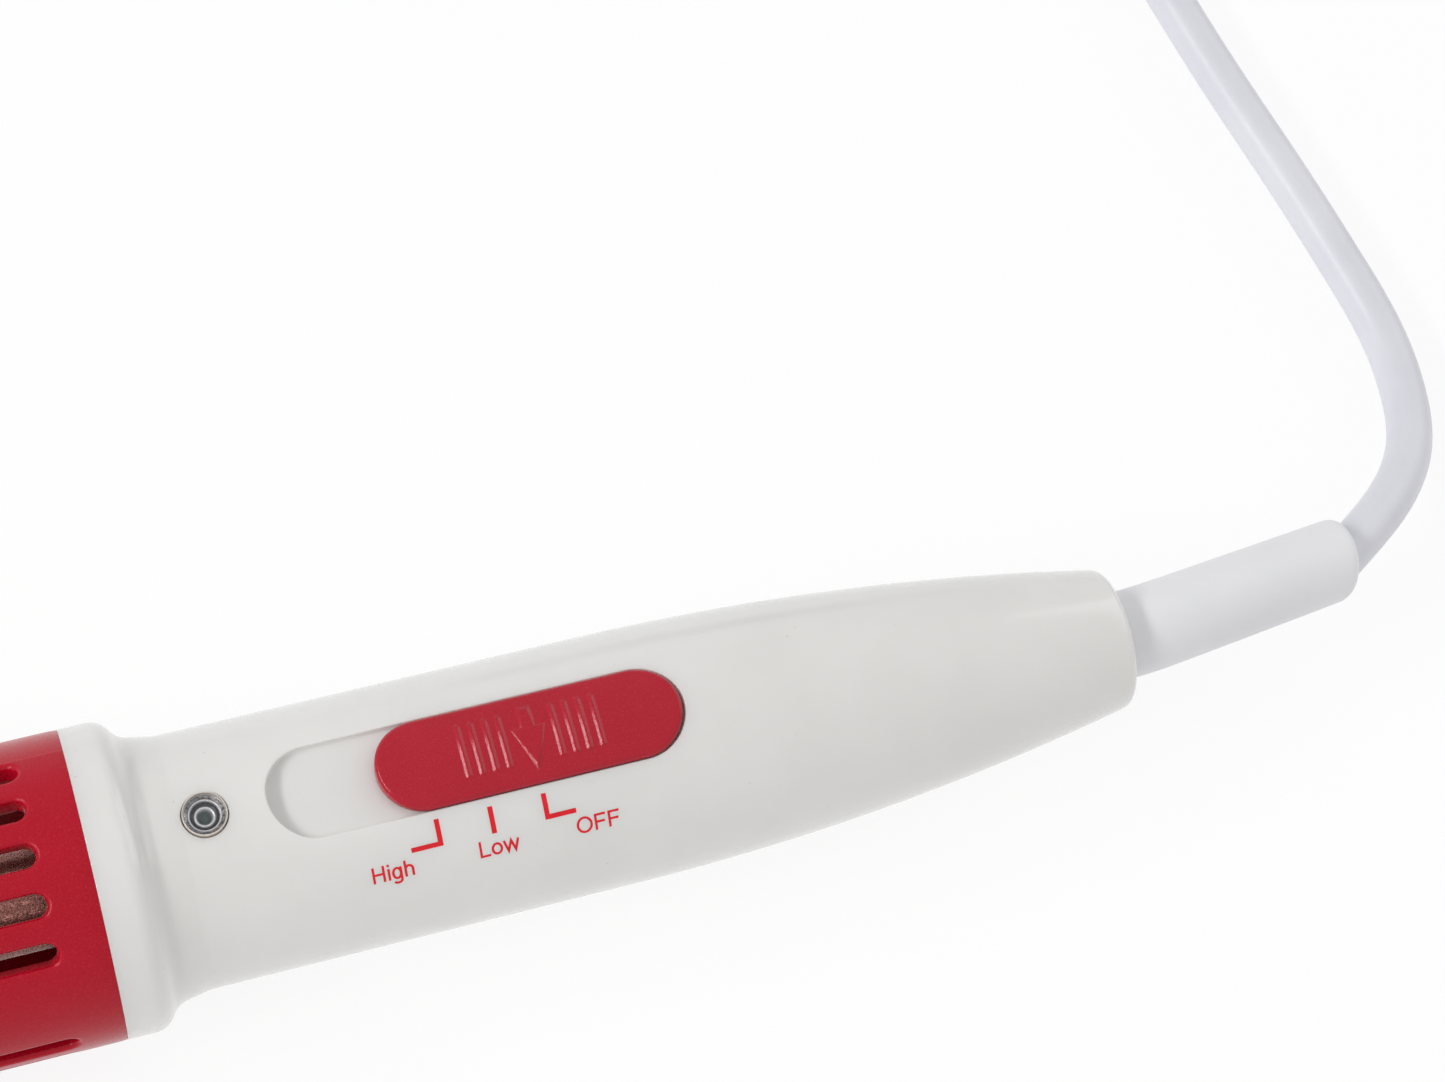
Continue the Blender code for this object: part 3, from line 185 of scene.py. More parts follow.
PLUG_STATION_SHARES = (
    (0.00, 0.34, 0.72), (0.06, 0.40, 0.84), (0.34, 0.88, 1.0), (0.50, 0.97, 1.0),
    (0.90, 1.0, 1.0), (0.97, 0.97, 0.95), (1.0, 0.93, 0.86))

# Fineness of the surfaces
ROUND = 192
WELD = 0.0000002
SHARP = math.radians(32)

# The camera of the photograph, fitted to the iron's outlines
CAMERA_AT = (-0.03228, -0.12822, 0.40803)
CAMERA_RIGHT = (0.95294, -0.28283, 0.10919)
CAMERA_DOWN = (-0.21929, -0.89171, -0.39595)
CAMERA_AHEAD = (0.20935, 0.35337, -0.91176)
FOCAL_PIXELS = 3600
IMAGE_WIDTH = 1445

# Light
ROOM_LIGHT = 0.56
LAMPS_AIM = (0.02, 0.0, 0.0)
FLOOR_WHITE = 0.88


# Surfaces

def rounded(corners, steps=6):
    """Outline through corners given as along, out and fillet radius. Each fillet is an
    arc that touches both sides, and takes at most half of the shorter one."""
    points = []
    for k, (along, out, fillet) in enumerate(corners):
        here = np.array((along, out))
        if not fillet or k in (0, len(corners) - 1):
            points.append(here)
            continue
        back = np.array(corners[k - 1][:2]) - here
        ahead = np.array(corners[k + 1][:2]) - here
        back_length, ahead_length = np.linalg.norm(back), np.linalg.norm(ahead)
        back, ahead = back / back_length, ahead / ahead_length
        half = math.acos(np.clip(back @ ahead, -1, 1)) / 2
        reach = min(fillet / math.tan(half), back_length / 2, ahead_length / 2)
        radius = reach * math.tan(half)
        middle = (back + ahead) / np.linalg.norm(back + ahead)
        centre = here + middle * radius / math.sin(half)
        first = here + back * reach - centre
        turn = math.pi - 2 * half
        if back[0] * ahead[1] - back[1] * ahead[0] > 0:
            turn = -turn
        for angle in np.linspace(0, turn, steps + 1):
            c, s = math.cos(angle), math.sin(angle)
            points.append(centre + np.array((c * first[0] - s * first[1],
                                             s * first[0] + c * first[1])))
    return np.array(points)


def refined(outline, step):
    """The same outline with its long sides divided, so that no side is longer than
    step."""
    parts = []
    for one, two in zip(outline, outline[1:]):
        count = max(1, math.ceil(np.linalg.norm(two - one) / step))
        parts.append(one + (two - one) * np.arange(count)[:, None] / count)
    return np.concatenate(parts + [outline[-1:]])


def grid(points, closed_rows=False, closed_columns=False):
    """Quads of a rows by columns by 3 array of points."""
    rows, columns = points.shape[:2]
    numbers = np.arange(rows * columns).reshape(rows, columns)
    if closed_rows:
        numbers = np.concatenate([numbers, numbers[:1]])
    if closed_columns:
        numbers = np.concatenate([numbers, numbers[:, :1]], axis=1)
    quads = np.stack([numbers[:-1, :-1], numbers[:-1, 1:], numbers[1:, 1:],
                      numbers[1:, :-1]], axis=-1).reshape(-1, 4)
    return points.reshape(-1, 3), quads


def merged(patches):
    """Puts patches together and merges the points that they share."""
    points = np.concatenate([patch[0] for patch in patches])
    shift, quads = 0, []
    for patch in patches:
        quads.append(patch[1] + shift)
        shift += len(patch[0])
    _, first, inverse = np.unique(np.round(points / WELD).astype(np.int64), axis=0,
                                  return_index=True, return_inverse=True)
    return points[first], inverse.reshape(-1)[np.concatenate(quads)]


def piece(name, patches, look, body, replaces=(), sharp=SHARP, placed=False):
    """Makes an object from patches, with its place in its mesh. Faces are turned to
    point outwards: the signed volume over all quads comes out positive."""
    points, quads = merged(patches)
    if not placed:
        points = points + np.array((SEAM_X, 0, AXIS_Z))
    centred = points - points.mean(axis=0)
    a, b, c, d = (centred[quads[:, k]] for k in range(4))
    volume = (np.cross(a, b) * c).sum() + (np.cross(a, c) * d).sum()
    if volume < 0:
        quads = quads[:, ::-1]
    keep = quads != np.roll(quads, -1, axis=1)
    quads, keep = quads[keep.sum(axis=1) > 2], keep[keep.sum(axis=1) > 2]
    sizes = keep.sum(axis=1)
    mesh = bpy.data.meshes.new(name)
    mesh.vertices.add(len(points))
    mesh.vertices.foreach_set("co", points.astype(np.float32).ravel())
    mesh.loops.add(int(sizes.sum()))
    mesh.loops.foreach_set("vertex_index", quads[keep].astype(np.int32))
    mesh.polygons.add(len(sizes))
    starts = np.concatenate([[0], np.cumsum(sizes)[:-1]]).astype(np.int32)
    mesh.polygons.foreach_set("loop_start", starts)
    mesh.update(calc_edges=True)
    mesh.validate()
    mesh.shade_smooth()
    mesh.set_sharp_from_angle(angle=sharp)
    return finished(name, mesh, look, body, replaces)


def finished(name, mesh, look, body, replaces=()):
    """Links a mesh as a piece that rides on a body and stands for solids."""
    made = bpy.data.objects.new(name, mesh)
    bpy.context.scene.collection.objects.link(made)
    made.data.materials.clear()
    made.data.materials.append(look)
    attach(made, body)
    if replaces:
        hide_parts(*replaces)
    return made


def turned(outline, sides=ROUND, start=0.0, sweep=math.tau):
    """Surface of revolution round the iron's axis: each point of the outline, along and
    out, runs round from straight up towards the +Y side."""
    whole = abs(sweep - math.tau) < 1e-9
    angles = start + sweep * np.arange(sides + (0 if whole else 1)) / sides
    outline = np.asarray(outline)
    points = np.stack([np.broadcast_to(outline[:, :1], (len(outline), len(angles))),
                       outline[:, 1:] * np.sin(angles), outline[:, 1:] * np.cos(angles)],
                      axis=-1)
    return grid(points, closed_columns=whole)


def spun(patch, angle):
    """A patch turned about the iron's axis by an angle from straight up towards +Y."""
    points = patch[0].copy()
    c, s = math.cos(angle), math.sin(angle)
    points[:, 1], points[:, 2] = (c * patch[0][:, 1] + s * patch[0][:, 2],
                                  c * patch[0][:, 2] - s * patch[0][:, 1])
    return points, patch[1]


def round_hole(window, steps, radius_at, centre, half_straight, half_width, rows=14,
               ease=0.0):
    """A window of a turned surface with a slot in it that has round ends.

    window is start, end and half angle; steps are the numbers of cells along and
    round. Every point of the window's border is joined to the nearest point of the
    slot's outline: the border point's place along is limited to the slot's straight
    part, and from there a ray of the slot's half width goes towards the border point.
    Returns the patch, and the outline's feet and directions for what goes on inside."""
    start, end, half = window
    along = np.linspace(start, end, steps[0] + 1)
    around = np.linspace(-half, half, steps[1] + 1)
    border = np.concatenate([
        np.stack([np.full(steps[1], start), around[:-1]], axis=1),
        np.stack([along[:-1], np.full(steps[0], half)], axis=1),
        np.stack([np.full(steps[1], end), around[:0:-1]], axis=1),
        np.stack([along[:0:-1], np.full(steps[0], -half)], axis=1)])
    across = radius_at(border[:, 0]) * np.sin(border[:, 1])
    border = np.stack([border[:, 0], across], axis=1)
    feet = np.stack([np.clip(border[:, 0], centre - half_straight, centre + half_straight),
                     np.zeros(len(border))], axis=1)
    rays = border - feet
    rays /= np.linalg.norm(rays, axis=1, keepdims=True)
    rim = feet + rays * (half_width + ease)
    share = np.linspace(0, 1, rows + 1)[:, None, None]
    plan = border + (rim - border) * share
    return onto(plan, radius_at), feet, rays


def onto(plan, radius_at, drop=0.0):
    """Lifts a rows by columns plan of along and sideways places onto a turned surface,
    or below it by a drop for each row, and closes it round."""
    high = np.sqrt(np.maximum(radius_at(plan[..., 0])**2 - plan[..., 1]**2, 0))
    points = np.stack([plan[..., 0], plan[..., 1], high - drop], axis=-1)
    return grid(points, closed_columns=True)


def slot_rings(feet, rays, half_width, offsets):
    """Rings parallel to a slot's outline, each further out from it by its offset."""
    return feet + rays * (half_width + np.asarray(offsets)[:, None, None])


def pipe(path, radii, sides=24, up=(0, 0, 1)):
    """Round surface along a path: at each point a ring square to the path's run, each
    ring's zero angle lying square to the run and to up. Both ends run to the middle."""
    path = np.asarray(path, float)
    radii = np.broadcast_to(np.asarray(radii, float), len(path))
    runs = np.gradient(path, axis=0)
    runs /= np.maximum(np.linalg.norm(runs, axis=1, keepdims=True), 1e-12)
    across = np.cross(runs, np.array(up, float))
    across /= np.linalg.norm(across, axis=1, keepdims=True)
    over = np.cross(across, runs)
    angles = math.tau * np.arange(sides) / sides
    ring = (across[:, None] * np.cos(angles)[:, None] + over[:, None] * np.sin(angles)[:, None])
    points = path[:, None] + ring * radii[:, None, None]
    points = np.concatenate([np.broadcast_to(path[0], (1, sides, 3)), points,
                             np.broadcast_to(path[-1], (1, sides, 3))])
    return grid(points, closed_columns=True)


def smooth_curve(points, start_way, end_way, step):
    """Points at even steps on the cubic curve through a route. Its slopes make the
    bend run on evenly through every point, and are given at both ends."""
    route = np.array(points)
    spans = np.linalg.norm(np.diff(route, axis=0), axis=1)
    count = len(route)
    matrix = np.zeros((count, count))
    right = np.zeros((count, 3))
    matrix[0, 0] = matrix[-1, -1] = 1
    right[0], right[-1] = start_way, end_way
    for k in range(1, count - 1):
        before, after = spans[k - 1], spans[k]
        matrix[k, k - 1:k + 2] = after, 2 * (before + after), before
        right[k] = 3 * (after * (route[k] - route[k - 1]) / before
                        + before * (route[k + 1] - route[k]) / after)
    slopes = np.linalg.solve(matrix, right)
    dense = []
    for k, span in enumerate(spans):
        t = np.linspace(0, 1, 60, endpoint=k == count - 2)[:, None]
        dense.append((2 * t**3 - 3 * t**2 + 1) * route[k]
                     + (3 * t**2 - 2 * t**3) * route[k + 1]
                     + span * ((t**3 - 2 * t**2 + t) * slopes[k]
                               + (t**3 - t**2) * slopes[k + 1]))
    dense = np.concatenate(dense)
    far = np.concatenate([[0], np.cumsum(np.linalg.norm(np.diff(dense, axis=0), axis=1))])
    even = np.linspace(0, far[-1], max(2, round(far[-1] / step) + 1))
    return np.stack([np.interp(even, far, dense[:, k]) for k in range(3)], axis=1)


# Materials

class Look:
    """A material's nodes: any node comes from node(), and values are combined as
    Python expressions through Value."""

    def __init__(self, name):
        self.material = bpy.data.materials.new(name)
        self.material.use_nodes = True
        self.tree = self.material.node_tree
        self.shader = self.tree.nodes["Principled BSDF"]
        self.place = self.node("ShaderNodeTexCoord").outputs["Object"]

    def node(self, kind, settings=None, **sockets):
        """A node with its settings, and its sockets set by name or linked. A socket's
        name has its blanks written as underscores."""
        made = self.tree.nodes.new(kind)
        for key, value in (settings or {}).items():
            if key == "stops":
                ramp = made.color_ramp
                while len(ramp.elements) < len(value):
                    ramp.elements.new(0.5)
                for element, (where, colour) in zip(ramp.elements, value):
                    element.position, element.color = where, (*colour, 1)
            else:
                setattr(made, key, value)
        for key, value in sockets.items():
            self.put(made.inputs[key.replace("_", " ")], value)
        return made

    def put(self, socket, value):
        """Sets a socket, or links a value or another socket to it."""
        value = value.socket if isinstance(value, Value) else value
        if isinstance(value, bpy.types.NodeSocket):
            self.tree.links.new(value, socket)
        else:
            socket.default_value = value

    def value(self, socket):
        return Value(self, socket)

    def noise(self, scale, detail=3.0, roughness=0.5, stretch=None):
        """Even noise over the piece, about 0 to 1. Stretch squeezes it by axis."""
        where = self.place
        if stretch:
            where = self.node("ShaderNodeMapping", Vector=where, Scale=stretch).outputs[0]
        made = self.node("ShaderNodeTexNoise", Vector=where, Scale=scale, Detail=detail,
                         Roughness=roughness)
        return self.value(made.outputs[0])

    def mix(self, share, one, two):
        """Colour between two by a share, which may change over the surface."""
        made = self.node("ShaderNodeMix", {"data_type": "RGBA"})
        self.put(made.inputs[0], share)
        self.put(made.inputs[6], one)
        self.put(made.inputs[7], two)
        return made.outputs[2]

    def bump(self, height, distance, strength=1.0):
        made = self.node("ShaderNodeBump", Height=height, Distance=distance,
                         Strength=strength)
        self.put(self.shader.inputs["Normal"], made.outputs[0])

    def set(self, **sockets):
        """Sets the shader's sockets; blanks are written as underscores."""
        for key, value in sockets.items():
            self.put(self.shader.inputs[key.replace("_", " ")], value)
        return self


class Value:
    """A number that changes over the surface."""

    def __init__(self, look, socket):
        self.look, self.socket = look, socket

    def maths(self, operation, *others, clamp=False):
        made = self.look.node("ShaderNodeMath", {"operation": operation,
                                                 "use_clamp": clamp})
        for socket, value in zip(made.inputs, (self, *others)):
            self.look.put(socket, value)
        return Value(self.look, made.outputs[0])

    def __add__(self, other):
        return self.maths("ADD", other)

    __radd__ = __add__

    def __mul__(self, other):
        return self.maths("MULTIPLY", other)

    __rmul__ = __mul__

    def __sub__(self, other):
        return self.maths("SUBTRACT", other)

    def __rsub__(self, other):
        return (self * -1.0) + other

    def between(self, low, high, to_low=0.0, to_high=1.0):
        """Straight change from to_low at low to to_high at high, held outside."""
        made = self.look.node("ShaderNodeMapRange", None, Value=self)
        for name, number in (("From Min", low), ("From Max", high), ("To Min", to_low),
                             ("To Max", to_high)):
            made.inputs[name].default_value = number
        return Value(self.look, made.outputs[0])


def rgb(red, green, blue):
    """Linear colour from the usual 0 to 255 one: the root-like curve of display
    colours is undone."""
    out = []
    for part in (red, green, blue):
        part /= 255
        out.append(part / 12.92 if part <= 0.04045 else ((part + 0.055) / 1.055)**2.4)
    return (*out, 1.0)


def moulded_white():
    """Glossy warm-white moulding with a faint unevenness and tiny dust specks."""
    look = Look("moulded_white")
    cloud = look.noise(60, 3, 0.6)
    speck = look.noise(1500, 1, 0.4).between(0.79, 0.83)
    body = look.mix(cloud.between(0.35, 0.65), rgb(231, 230, 227), rgb(227, 226, 223))
    look.set(Base_Color=look.mix(speck * 0.25, body, rgb(150, 146, 140)),
             Roughness=cloud.between(0.3, 0.7, 0.16, 0.22), Coat_Weight=0.25,
             Coat_Roughness=0.06, Subsurface_Weight=0.4,
             Subsurface_Radius=(0.004, 0.004, 0.0038))
    look.shader.inputs["Subsurface Scale"].default_value = 1.0
    look.bump(look.noise(220, 2, 0.5), 0.00001)
    return look.material


def heat_red():
    """Satin red moulding with a fine sparkle grain, a mould line along its upper side drawn
    lighter as a painted highlight, and a painted sheen over the side above it.
    """
    look = Look("heat_red")
    grain = look.noise(2600, 2, 0.6)
    cloud = look.noise(90, 3, 0.5)
    body = look.mix(cloud.between(0.3, 0.7), rgb(177, 3, 34), rgb(171, 1, 29))
    fleck = look.noise(7000, 1, 0.5).between(0.54, 0.74)
    side = look.value(look.node("ShaderNodeSeparateXYZ", Vector=look.place).outputs["Y"])
    # Painted light: a thin band from 11.30 to 11.38 mm towards +Y marks where the mould line
    # runs, and its lighter colour is a painted highlight. Above 11.52 mm the whole upper side
    # keeps a fifth of that lightening as a painted sheen.
    line = side.between(0.01130, 0.01138) * side.between(0.01138, 0.01152, 1.0, 0.2)
    body = look.mix(fleck * 0.36, body, rgb(210, 60, 76))
    look.set(Base_Color=look.mix(line * 0.5, body, rgb(206, 84, 92)),
             Roughness=grain.between(0.3, 0.7, 0.18, 0.30), Specular_IOR_Level=0.20)
    look.bump(grain, 0.00002, 0.8)
    return look.material


def knob_red():
    """Smoother red moulding of the switch knob."""
    look = Look("knob_red")
    grain = look.noise(3000, 2, 0.6)
    cloud = look.noise(120, 3, 0.5)
    body = look.mix(cloud.between(0.3, 0.7), rgb(178, 12, 40), rgb(171, 7, 34))
    fleck = look.noise(7000, 1, 0.5).between(0.50, 0.75)
    look.set(Base_Color=look.mix(fleck * 0.16, body, rgb(214, 80, 92)),
             Roughness=grain.between(0.3, 0.7, 0.13, 0.22), Specular_IOR_Level=0.29)
    look.bump(grain, 0.00003, 0.6)
    return look.material


def print_red():
    """Flat red ink of the printed words and marks."""
    look = Look("print_red")
    cloud = look.noise(900, 2, 0.5)
    look.set(Base_Color=look.mix(cloud.between(0.3, 0.7), rgb(226, 34, 46),
                                 rgb(218, 28, 40)), Roughness=0.45, Specular_IOR_Level=0.25)
    return look.material


def soft_vinyl(name, light, shade, rough):
    """Soft cord vinyl: a slightly cooler shade in patches and a fine skin."""
    look = Look(name)
    cloud = look.noise(70, 3, 0.55)
    skin = look.noise(900, 2, 0.5)
    look.set(Base_Color=look.mix(cloud.between(0.3, 0.7), light, shade),
             Roughness=skin.between(0.3, 0.7, rough - 0.04, rough + 0.06),
             Subsurface_Weight=0.15, Subsurface_Radius=(0.002, 0.002, 0.002))
    look.shader.inputs["Subsurface Scale"].default_value = 0.5
    look.bump(skin, 0.00001, 0.6)
    return look.material


def drawn_metal(name, light, dark, rough, along=(40, 1400, 1400)):
    """Metal with fine drawn lines along one axis and a little dulling."""
    look = Look(name)
    lines = look.noise(1, 3, 0.6, along)
    cloud = look.noise(150, 3, 0.5)
    look.set(Base_Color=look.mix(cloud.between(0.3, 0.7), light, dark), Metallic=1.0,
             Roughness=lines.between(0.3, 0.7, rough - 0.05, rough + 0.08))
    look.bump(lines, 0.00001, 0.7)
    return look.material


def dull(name, light, dark, rough=0.6, scale=500, depth=0.00002, sheen=0.0):
    """Dull moulded, fired or laminated stuff with a visible grain, which can be made to
    glisten."""
    look = Look(name)
    grain = look.noise(scale, 4, 0.6)
    look.set(Base_Color=look.mix(grain.between(0.3, 0.7), light, dark), Metallic=sheen,
             Roughness=grain.between(0.3, 0.7, rough - 0.08, rough + 0.1))
    look.bump(grain, depth, 0.8)
    return look.material


def clear_plastic():
    """Clear lens: mostly see-through with a strong gloss."""
    look = Look("clear_plastic")
    cloud = look.noise(800, 2, 0.5)
    look.set(Base_Color=look.mix(cloud.between(0.3, 0.7), rgb(96, 100, 104),
                                 rgb(84, 88, 92)), Roughness=0.05, Alpha=0.1,
             Specular_IOR_Level=0.5)
    return look.material


def lens_cup():
    """Rings inside the indicator: the tone goes by the distance from its axis, from the dark
    bottom through a bright ring, a dark one, a bright one and a mottled one to the pale flange.
    The bright rings are painted reflections, and the dark rings between them are painted shade."""
    look = Look("lens_cup")
    away = look.node("ShaderNodeVectorMath", {"operation": "SUBTRACT"})
    look.put(away.inputs[0], look.place)
    away.inputs[1].default_value = (LAMP_AT + SEAM_X, 0, 0)
    level = look.node("ShaderNodeVectorMath", {"operation": "MULTIPLY"})
    look.put(level.inputs[0], away.outputs[0])
    level.inputs[1].default_value = (1, 1, 0)
    out = look.node("ShaderNodeVectorMath", {"operation": "LENGTH"})
    look.put(out.inputs[0], level.outputs[0])
    far = look.value(out.outputs["Value"]) * (1 / LENS_MOUTH_R)
    # Painted light in the ring tones: the bright stops at 0.38 to 0.44 and 0.67 to 0.72 are
    # painted reflections, and the dark stops at 0.50 to 0.63 and 0.76 to 0.89 are painted shade.
    ring_tones_with_painted_light = ((0.0, (84, 94, 92)), (0.25, (66, 76, 76)), (0.30, (128, 130, 134)),
             (0.38, (236, 236, 238)), (0.44, (240, 240, 240)), (0.50, (70, 68, 74)),
             (0.63, (46, 44, 48)), (0.67, (230, 228, 230)), (0.72, (240, 238, 238)),
             (0.76, (58, 54, 60)), (0.89, (84, 80, 84)), (0.93, (206, 198, 190)),
             (0.99, (222, 212, 202)))
    ramp = look.node("ShaderNodeValToRGB", {"stops": [(at, rgb(*tone)[:3])
                                                      for at, tone in ring_tones_with_painted_light]}, Fac=far)
    mottle = look.noise(2600, 3, 0.7).between(0.40, 0.62)
    ring = far.between(0.72, 0.76) * far.between(0.88, 0.92, 1.0, 0.0)
    look.set(Base_Color=look.mix(mottle * ring * 0.85, ramp.outputs[0], rgb(190, 186, 188)),
             Metallic=0.4, Roughness=look.noise(1800, 3, 0.6).between(0.3, 0.7, 0.12, 0.3))
    return look.material


WHITE = moulded_white()
GUARD_RED = heat_red()
KNOB_RED = knob_red()
INK = print_red()
MILK = soft_vinyl("milky_vinyl", rgb(237, 237, 239), rgb(232, 232, 235), 0.42)
CORD_VINYL = soft_vinyl("cord_vinyl", rgb(225, 225, 232), rgb(218, 218, 226), 0.38)
STEEL = drawn_metal("drawn_steel", rgb(186, 184, 180), rgb(156, 154, 151), 0.28)
SOLE = drawn_metal("polished_sole", rgb(190, 189, 186), rgb(168, 167, 164), 0.16)
BRASS = drawn_metal("plated_brass", rgb(218, 206, 170), rgb(196, 182, 146), 0.26)
COPPER = drawn_metal("contact_copper", rgb(214, 160, 122), rgb(186, 128, 92), 0.34)
MICA = dull("brown_mica", rgb(228, 160, 148), rgb(114, 68, 62), 0.26, 3800, 0.00004, 0.8)
CERAMIC = dull("heater_ceramic", rgb(222, 216, 204), rgb(206, 198, 184), 0.75)
BLACK = dull("black_moulding", rgb(40, 40, 42), rgb(28, 28, 30), 0.5)
BOARD = dull("brown_board", rgb(134, 94, 58), rgb(112, 76, 44), 0.6)
SAND = dull("sand_lacquer", rgb(206, 184, 148), rgb(190, 166, 130), 0.5)
WIRE = dull("wire_sleeve", rgb(226, 222, 214), rgb(212, 208, 198), 0.5)
CLEAR = clear_plastic()
CUP = lens_cup()
NEON = dull("neon_glass", rgb(196, 190, 190), rgb(160, 150, 150), 0.2, 1200)


# Stage, light and camera

def build_camera():
    """The photograph's camera: its three directions and its place are the fitted
    ones, and its lens follows from the focal length in pixels."""
    data = bpy.data.cameras.new("photo_camera")
    data.sensor_width = 36
    data.lens = data.sensor_width * FOCAL_PIXELS / IMAGE_WIDTH
    data.clip_start, data.clip_end = 0.01, 20
    camera = bpy.data.objects.new("photo_camera", data)
    bpy.context.scene.collection.objects.link(camera)
    right = Vector(CAMERA_RIGHT)
    upward, back = -Vector(CAMERA_DOWN), -Vector(CAMERA_AHEAD)
    turn = Matrix((right, upward, back)).transposed().to_4x4()
    camera.matrix_world = Matrix.Translation(CAMERA_AT) @ turn
    bpy.context.scene.camera = camera


def shown_white(tree, shaded, glow, output, share):
    """Lets the camera, reflections and clear stuff see plain white by a share; all
    other light goes by the shaded surface. The share is the largest of the three kinds
    of ray, each 0 or 1, times the given one."""
    glow.inputs["Color"].default_value = (1, 1, 1, 1)
    glow.inputs["Strength"].default_value = 1.0
    ray = tree.nodes.new("ShaderNodeLightPath")
    total = ray.outputs["Is Camera Ray"]
    for kind, number in (("Is Glossy Ray", 1.0), ("Is Transmission Ray", 1.0), (None, share)):
        step = tree.nodes.new("ShaderNodeMath")
        step.operation = "MAXIMUM" if kind else "MULTIPLY"
        step.inputs[1].default_value = number
        tree.links.new(total, step.inputs[0])
        if kind:
            tree.links.new(ray.outputs[kind], step.inputs[1])
        total = step.outputs[0]
    blend = tree.nodes.new("ShaderNodeMixShader")
    tree.links.new(total, blend.inputs[0])
    tree.links.new(shaded.outputs[0], blend.inputs[1])
    tree.links.new(glow.outputs[0], blend.inputs[2])
    tree.links.new(blend.outputs[0], output.inputs[0])


def build_stage():
    """Pale table that runs off in every direction, seen as plain white."""
    side = 3.0
    mesh = bpy.data.meshes.new("table")
    mesh.from_pydata([(-side, -side, 0), (side, -side, 0), (side, side, 0),
                      (-side, side, 0)], [], [(0, 1, 2, 3)])
    table = bpy.data.objects.new("table", mesh)
    bpy.context.scene.collection.objects.link(table)
    look = Look("table_white")
    look.set(Base_Color=rgb(255, 255, 255), Roughness=0.9, Specular_IOR_Level=0.1)
    shown_white(look.tree, look.shader, look.node("ShaderNodeEmission"),
                look.tree.nodes["Material Output"], FLOOR_WHITE)
    mesh.materials.append(look.material)


def soft_box(name, place, size, power):
    """A large soft lamp aimed at the middle of the picture."""
    data = bpy.data.lights.new(name, "AREA")
    data.shape = "RECTANGLE"
    data.size, data.size_y = size
    data.energy = power
    lamp = bpy.data.objects.new(name, data)
    bpy.context.scene.collection.objects.link(lamp)
    place = Vector(place)
    turn = (Vector(LAMPS_AIM) - place).to_track_quat("-Z", "Y").to_matrix().to_4x4()
    lamp.matrix_world = Matrix.Translation(place) @ turn


def build_light():
    """Even white room, a strip lamp on the guard's side and a weak low one on the
    cord's side."""
    world = bpy.data.worlds.new("white_room")
    bpy.context.scene.world = world
    world.use_nodes = True
    tree = world.node_tree
    room = tree.nodes["Background"]
    room.inputs["Color"].default_value = (1, 1, 1, 1)
    room.inputs["Strength"].default_value = ROOM_LIGHT
    shown_white(tree, room, tree.nodes.new("ShaderNodeBackground"),
                tree.nodes["World Output"], 1.0)
    soft_box("lamp_left", (-0.70, 0.0, 0.67), (0.8, 0.13), 4.9)
    soft_box("lamp_right", (1.00, 0.35, 0.52), (0.9, 0.7), 2.2)
    bpy.context.scene.view_settings.view_transform = "Standard"


# Handle

def handle_outline():
    """The handle's outer outline, from the seam to the tail's edge. The grip is
    straight and then closes in with the square of the way along."""
    taper = np.linspace(GRIP_END, HANDLE_LENGTH, 28)[:-1]
    share = (taper - GRIP_END) / (HANDLE_LENGTH - GRIP_END)
    corners = [(SEAM_HALF, RECESS_R, 0), (SEAM_HALF, COLLAR_R, RIM_EDGE_R),
               (COLLAR_LENGTH, COLLAR_R, COLLAR_EDGE_R),
               (COLLAR_FOOT, NECK_R, COLLAR_FOOT_R),
               (COLLAR_FOOT + NECK_LENGTH, GRIP_R, NECK_LENGTH)]
    corners += [(along, GRIP_R - (GRIP_R - TAIL_R) * s**2, 0)
                for along, s in zip(taper, share)]
    corners += [(HANDLE_LENGTH, TAIL_R, TAIL_EDGE_R), (HANDLE_LENGTH, RELIEF_R + GAP, 0)]
    return rounded(corners, 8)


